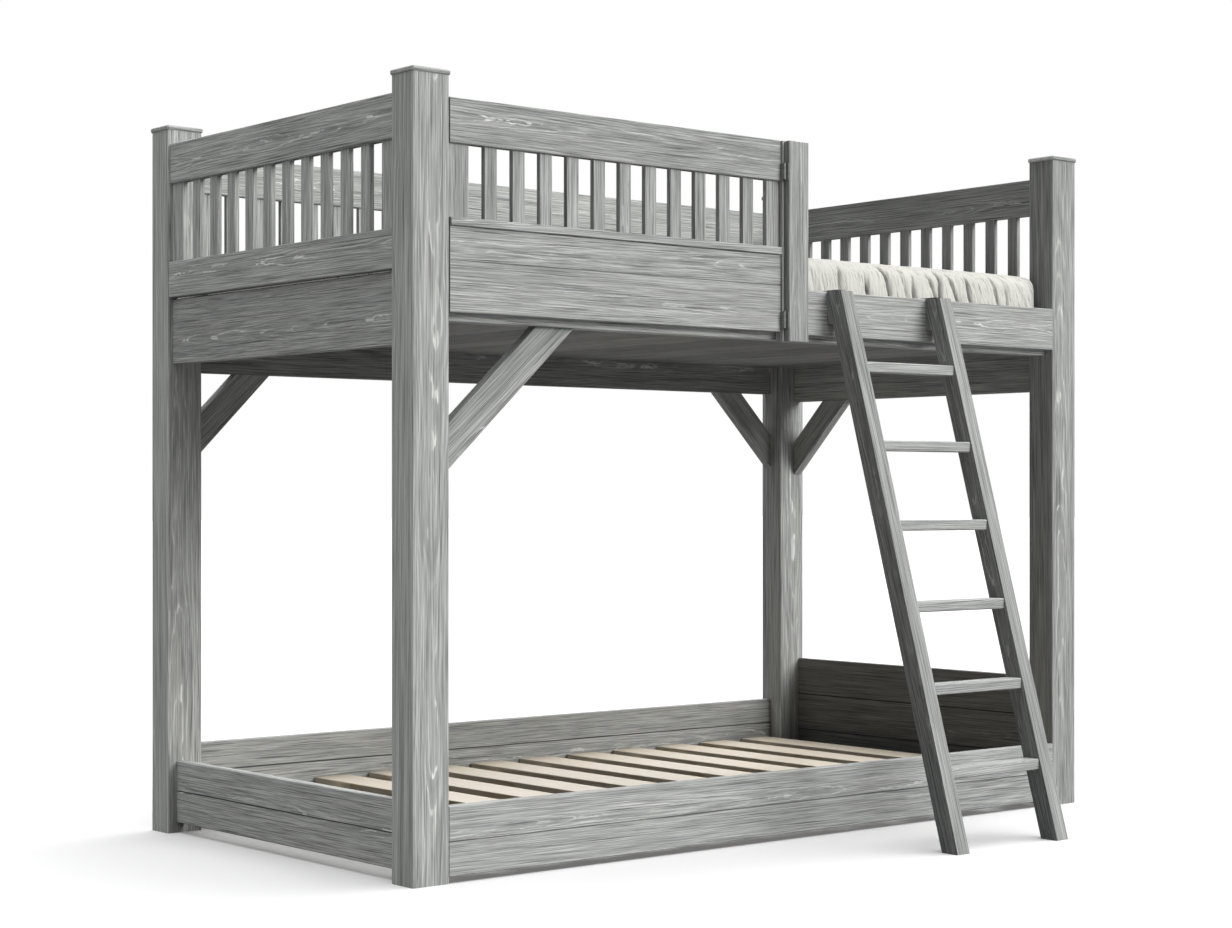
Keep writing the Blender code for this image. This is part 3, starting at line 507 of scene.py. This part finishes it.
class CoverSettings(bpy.types.PropertyGroup):
    """Gathered cover of the upper mattress."""
    cloth: bpy.props.FloatVectorProperty(
        name="Cloth", description="Colour of the cover",
        default=linear("#d7d6d1"), **COLOUR)
    # painted shade in the creases between the ribs
    shade: bpy.props.FloatVectorProperty(
        name="Shade", description="Colour between the ribs",
        default=linear("#8b8982"), **COLOUR)
    rib_spacing: bpy.props.FloatProperty(
        name="Rib Spacing", description="Distance between the fine ribs", default=0.0048,
        min=0.002, max=0.03, unit="LENGTH")
    pleat_spacing: bpy.props.FloatProperty(
        name="Pleat Spacing", description="Middle distance between deep folds", default=0.041,
        min=0.01, max=0.1, unit="LENGTH")
    pleat_depth: bpy.props.FloatProperty(
        name="Pleat Depth", description="Depth of the deep folds", default=0.0095,
        min=0.0, max=0.03, unit="LENGTH")


class BunkBedSettings(bpy.types.PropertyGroup):
    """Sizes and colours of the bunk bed's finishes."""
    wood: bpy.props.PointerProperty(type=WoodSettings)
    pine: bpy.props.PointerProperty(type=PineSettings)
    cover: bpy.props.PointerProperty(type=CoverSettings)
    edge: bpy.props.FloatProperty(
        name="Eased Edge", description="Radius of the slats' and boards' edges", default=0.0015,
        min=0.0, max=0.005, unit="LENGTH")
    deck_board: bpy.props.FloatProperty(
        name="Deck Board", description="Width of a deck board", default=0.0953,
        min=0.05, max=0.2, unit="LENGTH")


class BUNKBED_OT_stage(bpy.types.Operator):
    """Add the pale floor, the soft studio light and the camera"""
    bl_idname = "bunkbed.stage"
    bl_label = "Stage, Light and Camera"

    def execute(self, context):
        scene = context.scene
        scene.view_settings.view_transform = "Standard"
        # seamless paper, matt and almost white; the greyer sheet under it isn't seen by the camera,
        # and is what lights the bed from below
        self.lay_paper(scene, "floor", 0.0, "#f9f9f9", True)
        self.lay_paper(scene, "floor_bounce", -0.0005, "#9c9c9c", False)
        self.fill_world(scene)
        self.hang_lights(scene)
        self.set_camera(scene)
        return {"FINISHED"}

    def lay_paper(self, scene, name, level, tint, seen):
        """A wide sheet on the floor. The seen one glows a little, so that shade on it stays pale."""
        shape = bmesh.new()
        made = bmesh.ops.create_grid(shape, x_segments=1, y_segments=1, size=60)["verts"]
        bmesh.ops.translate(shape, vec=(0, 0, level), verts=made)
        mesh = bpy.data.meshes.new(name)
        shape.to_mesh(mesh)
        shape.free()
        floor = bpy.data.objects.new(name, mesh)
        scene.collection.objects.link(floor)
        material, tree = new_material(f"Seamless paper {name}")
        shader = put(tree, "BsdfPrincipled", {
            "Base Color": linear(tint), "Roughness": 0.9, "Specular IOR Level": 0.1,
            "Emission Color": linear(tint), "Emission Strength": 0.14 if seen else 0.0})
        put(tree, "OutputMaterial", {"Surface": shader.outputs[0]})
        mesh.materials.append(material)
        floor.visible_camera = seen
        floor.visible_diffuse = floor.visible_glossy = floor.visible_shadow = not seen

    def fill_world(self, scene):
        """A white backdrop for the camera, and a faint cool fill for everything else."""
        world = bpy.data.worlds.new("Studio")
        world.use_nodes = True
        tree = world.node_tree
        tree.nodes.clear()
        backdrop = put(tree, "Background", {"Color": (1, 1, 1, 1), "Strength": 1.0})
        fill = put(tree, "Background", {"Color": linear("#e8ebee"), "Strength": 0.06})
        sight = put(tree, "LightPath").outputs["Is Camera Ray"]
        both = put(tree, "MixShader", {0: sight, 1: fill.outputs[0], 2: backdrop.outputs[0]})
        put(tree, "OutputWorld", {"Surface": both.outputs[0]})
        scene.world = world

    def hang_lights(self, scene):
        """Four wide suns: key, side and back light the bed alone, the overhead the floor too.

        Some parts get no side light, and the cover gets no overhead light.
        """
        whole_bed = self.lit("lit from the front", lambda name: not name.startswith("floor"))
        left_sides = self.lit("lit from the left",
                              lambda name: not name.startswith(("floor",) + SHADED_LEFT))
        wood_and_floor = self.lit("lit from above", lambda name: not name.startswith("gathered"))
        # name, strength, angle in degrees, colour, direction towards the light, what it falls on
        for name, strength, spread, colour, source, receivers in (
                ("key", 3.4, 36, "#fffefb", (0.50, -1.0, 0.56), whole_bed),
                ("side", 2.0, 60, "#fdfdfb", (-0.75, -0.10, 0.90), left_sides),
                ("back", 2.2, 60, "#ffffff", (0.60, 1.0, 0.55), whole_bed),
                ("overhead", 4.1, 80, "#ffffff", (0.25, -0.05, 1.0), wood_and_floor)):
            light = bpy.data.lights.new(name, "SUN")
            light.energy = strength
            light.angle = math.radians(spread)
            light.color = linear(colour)[:3]
            lamp = bpy.data.objects.new(name, light)
            lamp.rotation_euler = Vector(source).to_track_quat("Z", "Y").to_euler()
            scene.collection.objects.link(lamp)
            lamp.light_linking.receiver_collection = receivers

    def set_camera(self, scene):
        """A level camera at sitting height, in front of the bed's left corner."""
        camera = bpy.data.cameras.new("camera")
        camera.lens = 68.61
        camera.sensor_width = 36
        camera.shift_y = 0.02445
        camera.clip_end = 200
        viewer = bpy.data.objects.new("camera", camera)
        viewer.location = (-3.8335, -4.3309, 0.8134)
        viewer.rotation_euler = (math.radians(90), 0, math.radians(-39.77))
        scene.collection.objects.link(viewer)
        scene.camera = viewer

    def lit(self, name, takes):
        """A collection of the meshes that a light reaches."""
        collection = bpy.data.collections.new(name)
        for item in bpy.data.objects:
            if item.type == "MESH" and takes(item.name):
                collection.objects.link(item)
        return collection


def principal_direction(node):
    """The direction in which a node's corners spread most."""
    corners = np.array([vertex.co for vertex in node.data.vertices])
    corners = corners - corners.mean(axis=0)
    directions = np.linalg.eigh(corners.T @ corners)[1]
    return Vector(directions[:, -1])


def plank_lines(node, low, high):
    """Heights of a board's dark lines: dirt and painted shade in the V-shaped cuts of a lower board, or
    painted shadow along an end board's top edge.
    """
    # an end board's top edge gets a line of painted shadow from the gap above it
    if node.name.startswith("upper_end_board_"):
        return (high.z,)
    if not node.name.startswith("lower_board_"):
        return ()
    inset, from_edge = 0.0015, 0.02
    levels = set()
    for vertex in node.data.vertices:
        x, y, z = vertex.co
        within_x, within_y = low.x + inset < x < high.x - inset, low.y + inset < y < high.y - inset
        if (within_x or within_y) and low.z + from_edge < z < high.z - from_edge:
            levels.add(round(z, 4))
    return sorted(levels)


def wood_for(name, node, seed):
    """Limed wood laid along a CAD node's grain, with its own figure."""
    low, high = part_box(name)
    size = high - low
    order = sorted(range(3), key=lambda axis: size[axis])
    along, face = Vector((0, 0, 0)), Vector((0, 0, 0))
    face[order[0]] = 1
    along[order[2]] = 1
    if name.startswith("ladder_stringer_"):
        face = X.copy()
        along = Vector((0, LADDER_LEAN, 1)).normalized()
    elif name.startswith(SLANTED):
        along = principal_direction(node)
        along = (along - face * along.dot(face)).normalized()
    dice = random.Random(seed)
    across = face.cross(along)
    width = abs(size.dot(across)) if not name.startswith(SLANTED) else 0.06
    heart = (low + high) / 2 + face * (size[order[0]] / 2 + dice.uniform(0.001, 0.008))
    heart += across * width * dice.uniform(-0.18, 0.18)
    # a random tone of the board's own, times its painted light or shade from the table of toned boards
    tone = dice.uniform(0.95, 1.05) * LIGHT_AND_SHADE_TONES.get(name, 1.0)
    return limed_wood(f"Limed wood {name}", along, face, heart, seed, tone,
                      dirt_and_shade_lines=plank_lines(node, low, high),
                      line_tone=FAINT_LINE if name == "lower_board_front" else DARK_LINE,
                      wave=0.060 if name.startswith("post_") else 0.024)


class BUNKBED_OT_grey_wood(bpy.types.Operator):
    """Lay limed grey wood on the posts, rails, planks, braces and ladder"""
    bl_idname = "bunkbed.grey_wood"
    bl_label = "Grey Wood"

    def execute(self, context):
        for seed, (name, node) in enumerate(sorted(frame["nodes"].items())):
            if name.startswith(SOFT_OR_METAL) or name in REMADE:
                continue
            node.data.materials.clear()
            node.data.materials.append(wood_for(name, node, 100 + seed))
        return {"FINISHED"}


class BUNKBED_OT_guard_slats(bpy.types.Operator):
    """Add the slats and stiles of the gate and the guards, each with eased edges"""
    bl_idname = "bunkbed.guard_slats"
    bl_label = "Guard Slats"

    def execute(self, context):
        ease = context.scene.bunk_bed.edge
        groups = (("gate_slats", 0, "gate", STILE, GATE_HINGE_STILE),
                  ("rear_guard_slats", 0, "frame", STILE, STILE),
                  ("left_guard_slats", 1, "frame", STILE, STILE),
                  ("right_guard_slats", 1, "frame", STILE, STILE))
        for seed, (node, axis, body, first, last) in enumerate(groups):
            low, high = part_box(node)
            shape = bmesh.new()
            for start, width in slat_places(high[axis] - low[axis], first, last):
                slat_low, slat_high = low.copy(), high.copy()
                slat_low[axis] = low[axis] + start
                slat_high[axis] = slat_low[axis] + width
                add_board(shape, slat_low, slat_high, ease)
            face = Y if axis == 0 else X
            wood = limed_wood(f"Limed wood {node}", Z, face, (low + high) / 2 + face * 0.05, 40 + seed,
                              figure=1.6)
            add_piece(node.replace("_slats", "_pickets"), shape, [wood], body, [node])
        return {"FINISHED"}


class BUNKBED_OT_deck(bpy.types.Operator):
    """Add the deck as boards across the bed, notched round the posts"""
    bl_idname = "bunkbed.deck"
    bl_label = "Deck Boards"

    def execute(self, context):
        settings = context.scene.bunk_bed
        low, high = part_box("deck_panel")
        clearance, half_gap = 0.0003, 0.0004
        inner_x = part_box("post_front_right")[0].x - clearance
        front_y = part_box("post_front_left")[1].y + clearance
        rear_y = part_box("post_rear_left")[0].y - clearance
        count = round(2 * inner_x / settings.deck_board)
        width = 2 * inner_x / count
        dice = random.Random(11)
        # the deck boards are toned far darker as painted shade on their underside, and their three tones
        # differ at random
        woods = [limed_wood(f"Limed wood deck {number}", Y, Z,
                            Vector((dice.uniform(-0.5, 0.5), 0.2, high.z + 0.03)), 71 + number,
                            tone=(0.50, 0.62, 0.72)[number], figure=1.6) for number in range(3)]
        shape = bmesh.new()
        spans = [(-inner_x + index * width + half_gap, -inner_x + (index + 1) * width - half_gap,
                  low.y, high.y) for index in range(count)]
        spans += [(low.x, -inner_x - half_gap, front_y, rear_y),
                  (inner_x + half_gap, high.x, front_y, rear_y)]
        for start, end, near, far in spans:
            before = set(shape.faces)
            add_board(shape, (start, near, low.z), (end, far, high.z), 0.0034)
            kind = dice.randrange(3)
            for face in shape.faces:
                if face not in before:
                    face.material_index = kind
        add_piece("deck_boards", shape, woods, "frame", ["deck_panel"])
        return {"FINISHED"}


class BUNKBED_OT_pine_slats(bpy.types.Operator):
    """Add the lower bunk's pine slats, the tapes that hold them and their staples"""
    bl_idname = "bunkbed.pine_slats"
    bl_label = "Pine Slats"

    def execute(self, context):
        low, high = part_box("slat_base")
        bottom = high.z - BASE_SLAT_THICKNESS
        width = high.x - low.x - (BASE_SLATS - 1) * BASE_PITCH
        slats, staples = bmesh.new(), bmesh.new()
        tape_rows = (low.y + 0.093, high.y - 0.118)
        for index in range(BASE_SLATS):
            start = low.x + index * BASE_PITCH
            add_board(slats, (start, low.y, bottom), (start + width, high.y, high.z), 0.002)
        pine = pine_wood("Planed pine slats", Y, Z, Vector((0, 0.2, bottom - 0.03)), 81)
        add_piece("pine_slats", slats, [pine], "frame", ["slat_base"])
        tapes = bmesh.new()
        for row in tape_rows:
            made = bmesh.ops.create_grid(tapes, x_segments=120, y_segments=2, size=0.5)["verts"]
            length = high.x - low.x - width / 2
            bmesh.ops.scale(tapes, vec=(length, 0.025, 1), verts=made)
            bmesh.ops.translate(tapes, vec=(0, row + 0.0125, bottom - 0.0013), verts=made)
            for vert in made:
                into = ((vert.co.x - low.x) % BASE_PITCH - width) / (BASE_PITCH - width)
                if 0 < into < 1:
                    vert.co.z -= 0.0016 * math.sin(math.pi * into)
            for index in range(BASE_SLATS):
                middle = low.x + index * BASE_PITCH + width / 2
                for side in (-0.018, 0.018):
                    add_board(staples, (middle + side - 0.0006, row + 0.0065, bottom - 0.0022),
                              (middle + side + 0.0006, row + 0.0185, bottom - 0.0008), 0.0004, 1)
        bmesh.ops.solidify(tapes, geom=tapes.faces[:], thickness=0.0010)
        add_piece("slat_tapes", tapes, [webbing("Woven cotton tape")], "frame")
        add_piece("slat_staples", staples, [staple_wire("Bright wire staple")], "frame")
        return {"FINISHED"}


def outline_place(half_x, half_y, radius, run):
    """A point on a rounded rectangle at a distance along it, and its outward direction."""
    straight_x, straight_y = 2 * (half_x - radius), 2 * (half_y - radius)
    arc = radius * math.pi / 2
    sides = ((Vector((-half_x + radius, -half_y)), Vector((1, 0)), straight_x),
             (Vector((half_x, -half_y + radius)), Vector((0, 1)), straight_y),
             (Vector((half_x - radius, half_y)), Vector((-1, 0)), straight_x),
             (Vector((-half_x, half_y - radius)), Vector((0, -1)), straight_y))
    for start, way, length in sides:
        out = Vector((way.y, -way.x))
        if run <= length:
            return start + way * run, out
        run -= length
        if run <= arc:
            angle = run / radius
            middle = start + way * length - out * radius
            out = (out * math.cos(angle) + way * math.sin(angle))
            return middle + out * radius, out
        run -= arc
    return sides[0][0], Vector((0, -1))


class BUNKBED_OT_mattress(bpy.types.Operator):
    """Add the mattress in its gathered cover"""
    bl_idname = "bunkbed.mattress"
    bl_label = "Mattress"

    def execute(self, context):
        cover = context.scene.bunk_bed.cover
        low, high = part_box("mattress")
        middle = (low + high) / 2
        half_x, half_y = (high.x - low.x) / 2 - 0.010, (high.y - low.y) / 2 - 0.009
        core = half_x - half_y
        radius, edge_round, foot_round = 0.026, 0.034, 0.014
        front_step, other_step = 0.0125, 0.028
        height = high.z - low.z - 0.012
        length = 2 * (2 * half_x + 2 * half_y - 4 * radius) + 2 * math.pi * radius
        # the outline is close-set along the front and wide elsewhere
        front = 2 * (half_x - radius) + 2 * radius
        runs = [0.0]
        while runs[-1] < length - other_step:
            runs.append(runs[-1] + (front_step if runs[-1] < front else other_step))
        count = len(runs)
        outline = [outline_place(half_x, half_y, radius, run) for run in runs]

        # section of the cover from the middle of the underside, out, up and back in over the top
        section = [(1 - share, 0.0, 0.0) for share in (0.0, 0.5, 0.9)]
        section += [(0.0, foot_round * (1 - math.sin(angle)), foot_round * (1 - math.cos(angle)))
                    for angle in (0.3, 0.9, math.pi / 2)]
        rise = height - foot_round - edge_round
        section += [(0.0, 0.0, foot_round + rise * share) for share in (0.2, 0.4, 0.6, 0.8, 1.0)]
        section += [(0.0, edge_round * (1 - math.cos(angle)), height - edge_round * (1 - math.sin(angle)))
                    for angle in (0.4, 0.8, 1.2, math.pi / 2)]
        section += [(share, edge_round, height) for share in (0.05, 0.12, 0.25, 0.5, 1.0)]

        def place(index, ring):
            share, inset, level = section[ring]
            point, out = outline[index]
            point = point - out * inset
            heart = Vector((max(-core, min(core, point.x)), 0.0))
            point = point * (1 - share) + heart * share
            crown = 0.004 * math.sin(min(1.0, share * 3) * math.pi / 2) if level >= height else 0.0
            return Vector((middle.x + point.x, middle.y + point.y, low.z + 0.001 + level + crown))

        shape = bmesh.new()
        ring_verts = [shape.verts.new(place(index, 0)) for index in range(count)]
        edges = [shape.edges.new((ring_verts[index], ring_verts[(index + 1) % count]))
                 for index in range(count)]
        for ring in range(1, len(section)):
            made = bmesh.ops.extrude_edge_only(shape, edges=edges)["geom"]
            edges = [item for item in made if isinstance(item, bmesh.types.BMEdge)]
            rim, partners = set(edges), {}
            for vert in (item for item in made if isinstance(item, bmesh.types.BMVert)):
                below = next(edge.other_vert(vert) for edge in vert.link_edges if edge not in rim)
                partners[below] = vert
            ring_next = [partners[vert] for vert in ring_verts]
            for index, vert in enumerate(ring_next):
                vert.co = place(index, ring)
            ring_verts = ring_next
        bmesh.ops.remove_doubles(shape, verts=shape.verts, dist=0.0008)
        bmesh.ops.dissolve_degenerate(shape, dist=0.0002, edges=shape.edges)
        piece = add_piece("gathered_mattress", shape, [], "frame", ["mattress"])

        swell(piece, SWELL_LIMIT)
        fit_inside(piece, low + Vector((-COVER_PAST_END, 0.001, 0.0006)),
                   high + Vector((COVER_PAST_END, -0.001, COVER_PAST_TOP)))
        finer = piece.modifiers.new("finer", "SUBSURF")
        finer.levels = finer.render_levels = 2
        apply_modifiers(piece)
        gather(piece, middle, (high.x - low.x) / 2 + COVER_PAST_END, (high.y - low.y) / 2, low.z,
               high.z - low.z + COVER_PAST_TOP, cover)
        piece.data.materials.append(cover_cloth("Crinkled cotton cover"))
        piece.data.shade_smooth()
        return {"FINISHED"}


def apply_modifiers(piece):
    """Replaces a piece's mesh by what its modifiers make of it."""
    bpy.context.view_layer.update()
    evaluated = piece.evaluated_get(bpy.context.evaluated_depsgraph_get())
    mesh = bpy.data.meshes.new_from_object(evaluated)
    piece.modifiers.clear()
    old, piece.data = piece.data, mesh
    bpy.data.meshes.remove(old)
    mesh.name = piece.name


def swell(piece, most):
    """Fills a cover with air for a moment, as cloth, and keeps what it moved up to a limit."""
    scene = bpy.context.scene
    cloth = piece.modifiers.new("swell", "CLOTH")
    settings = cloth.settings
    settings.quality = 4
    settings.use_pressure = True
    settings.uniform_pressure_force = 4.0
    settings.effector_weights.gravity = 0.0
    settings.tension_stiffness = settings.compression_stiffness = 40.0
    settings.bending_stiffness = 2.0
    cloth.point_cache.frame_start, cloth.point_cache.frame_end = 1, SWELL_STEPS
    for number in range(1, SWELL_STEPS + 1):
        scene.frame_set(number)
    moved = piece.evaluated_get(bpy.context.evaluated_depsgraph_get()).data
    places = [vertex.co.copy() for vertex in moved.vertices]
    piece.modifiers.remove(cloth)
    scene.frame_set(1)
    for vertex, place in zip(piece.data.vertices, places):
        step = place - vertex.co
        if step.length > most:
            step *= most / step.length
        vertex.co += step
    piece.data.update()


def fit_inside(piece, low, high):
    """Stretches a piece so that it fills a box."""
    corners = [vertex.co for vertex in piece.data.vertices]
    least = Vector([min(corner[axis] for corner in corners) for axis in range(3)])
    most = Vector([max(corner[axis] for corner in corners) for axis in range(3)])
    for vertex in piece.data.vertices:
        for axis in range(3):
            share = (vertex.co[axis] - least[axis]) / (most[axis] - least[axis])
            vertex.co[axis] = low[axis] + share * (high[axis] - low[axis])
    piece.data.update()


def gather(piece, middle, half_x, half_y, floor, height, cover):
    """Presses folds into the cover: deep ones lean as they fall, and fine ribs run between them.

    It also leaves the cloth its pattern's places (cover_run) and the folds' depths (fold).
    """
    mesh = piece.data
    total = len(mesh.vertices)
    points = np.empty(total * 3)
    mesh.vertices.foreach_get("co", points)
    points = points.reshape(-1, 3)
    normals = np.empty(total * 3)
    mesh.vertices.foreach_get("normal", normals)
    normals = normals.reshape(-1, 3)
    x, y = points[:, 0] - middle.x, points[:, 1] - middle.y
    core = half_x - half_y
    heart = np.clip(x, -core, core)
    share = np.maximum(np.maximum(np.abs(x - heart), np.abs(y)) / half_y, 1e-4)
    rim_x, rim_y = heart + (x - heart) / share, y / share
    # distance round the rim, and distance down from it; on the top that distance is negative
    run = np.where(rim_y <= -half_y * 0.9999, rim_x + half_x, 0.0)
    right = (np.abs(rim_y) < half_y * 0.9999) & (x > 0)
    left = (np.abs(rim_y) < half_y * 0.9999) & (x <= 0)
    rear = rim_y >= half_y * 0.9999
    run = np.where(right, 2 * half_x + rim_y + half_y, run)
    run = np.where(rear, 2 * half_x + 2 * half_y + half_x - rim_x, run)
    run = np.where(left, 4 * half_x + 2 * half_y + half_y - rim_y, run)
    around = 4 * (half_x + half_y)
    depth_in = np.maximum(0.0, (1 - share) * half_y)
    level = points[:, 2] - floor
    down = np.where(depth_in > 0.03, -depth_in, (height - level) - np.minimum(depth_in, 0.03))

    dice = random.Random(7)
    push = np.zeros(total)
    start = 0.0
    while start < around:
        pitch = cover.pleat_spacing * dice.uniform(0.55, 1.5)
        start += pitch
        depth = cover.pleat_depth * dice.choice((0.4, 0.75, 1.25)) * dice.uniform(0.8, 1.2)
        begins = dice.uniform(-0.075, 0.030)
        lean = dice.uniform(0.030, 0.065)
        wide = dice.uniform(0.0026, 0.0050)
        fall = np.clip((down - begins) / 0.16, 0, 1)
        line = start + lean * fall ** 0.7 + 0.004 * np.sin(down * 40 + start * 70)
        off = (run - line + around / 2) % around - around / 2
        strength = np.clip((down - begins) / 0.045, 0, 1)
        near = np.abs(off) < 0.05
        value = np.exp(-np.abs(off) / wide) + 0.25 * np.exp(-(off / (wide * 2.8)) ** 2)
        value = depth * strength * value
        push = np.where(near, push - value, push)
    ribs = np.zeros(total)
    for order, spacing in enumerate((0.011, 0.0072, 0.019)):
        wander = 9 * np.sin(run * (3.1 + order)) + 14 * down * (order - 1)
        ribs += np.sin(run * 2 * math.pi / spacing + wander)
    ribs *= 0.00075 * np.clip((down + 0.05) / 0.05, 0, 1)
    # long soft wrinkles in from the edge, over the top
    wrinkles = 0.0016 * np.sin(run * 2 * math.pi / 0.083 + 5 * np.sin(run * 1.7) + 20 * depth_in)
    wrinkles *= np.exp(-depth_in / 0.16) * np.clip(level / height * 2 - 1, 0, 1)
    underside = np.clip(level / 0.02, 0, 1)
    offset = (np.maximum(push, -0.019) + ribs + wrinkles) * underside
    points = points + normals * offset[:, None]
    mesh.vertices.foreach_set("co", points.reshape(-1))
    # the folds' depths, which the cloth turns into painted shade
    depths = mesh.attributes.new("fold", "FLOAT", "POINT")
    depths.data.foreach_set("value", np.clip(-push / cover.pleat_depth, 0, 1))
    layer = mesh.uv_layers.new(name="cover_run")
    loops = np.empty(len(mesh.loops), dtype=np.int32)
    mesh.loops.foreach_get("vertex_index", loops)
    uv = np.stack([run[loops], down[loops]], axis=1)
    layer.data.foreach_set("uv", uv.reshape(-1))
    mesh.update()


class BUNKBED_OT_fittings(bpy.types.Operator):
    """Finish the steel fittings: the gate's hinges and the ladder's hooks"""
    bl_idname = "bunkbed.fittings"
    bl_label = "Steel Fittings"

    def execute(self, context):
        enamel = stoved_enamel("Grey stoved enamel on steel", "#6f7171", "#8b8d8c")
        dark = stoved_enamel("Dark stoved enamel on steel", "#3c3d3d", "#4c4d4d")
        for name, node in frame["nodes"].items():
            if name.startswith(("hinge_", "ladder_hook_")):
                node.data.materials.clear()
                node.data.materials.append(enamel if name.startswith("hinge_") else dark)
        # the rounded ends of each hinge's pin, on the axis that both leaves' barrels share
        ends = bmesh.new()
        for level in ("upper", "lower"):
            low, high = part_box(f"hinge_{level}_post_leaf")
            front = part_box(f"hinge_{level}_gate_leaf")[0].y
            radius = (high.y - front) / 2
            for height, way in ((low.z, -1), (high.z, 1)):
                made = bmesh.ops.create_uvsphere(ends, u_segments=20, v_segments=10, radius=radius)["verts"]
                bmesh.ops.scale(ends, vec=(1.0, 1.0, 0.9), verts=made)
                centre = (low.x + radius, (high.y + front) / 2, height + way * 0.0008)
                bmesh.ops.translate(ends, vec=centre, verts=made)
        add_piece("hinge_pin_ends", ends, [dark], "frame")
        return {"FINISHED"}


class BUNKBED_PT_panel(bpy.types.Panel):
    """Lists the bed's pieces and settings"""
    bl_label = "Bunk Bed"
    bl_idname = "BUNKBED_PT_panel"
    bl_space_type = "VIEW_3D"
    bl_region_type = "UI"
    bl_category = "Bunk Bed"

    def draw(self, context):
        settings = context.scene.bunk_bed
        for group in (settings.wood, settings.pine, settings.cover):
            box = self.layout.box()
            for name in group.bl_rna.properties.keys():
                if name not in ("rna_type", "name"):
                    box.prop(group, name)
        self.layout.prop(settings, "edge")
        self.layout.prop(settings, "deck_board")
        for operator in OPERATORS:
            self.layout.operator(operator.bl_idname)


OPERATORS = (BUNKBED_OT_stage, BUNKBED_OT_grey_wood, BUNKBED_OT_guard_slats, BUNKBED_OT_deck,
             BUNKBED_OT_pine_slats, BUNKBED_OT_mattress, BUNKBED_OT_fittings)
CLASSES = (WoodSettings, PineSettings, CoverSettings, BunkBedSettings) + OPERATORS + (BUNKBED_PT_panel,)


def register():
    for item in CLASSES:
        bpy.utils.register_class(item)
    bpy.types.Scene.bunk_bed = bpy.props.PointerProperty(type=BunkBedSettings)


def unregister():
    del bpy.types.Scene.bunk_bed
    for item in reversed(CLASSES):
        bpy.utils.unregister_class(item)


def main():
    register()
    bpy.ops.bunkbed.grey_wood()
    bpy.ops.bunkbed.guard_slats()
    bpy.ops.bunkbed.deck()
    bpy.ops.bunkbed.pine_slats()
    bpy.ops.bunkbed.mattress()
    bpy.ops.bunkbed.fittings()
    bpy.ops.bunkbed.stage()


if __name__ == "__main__":
    main()
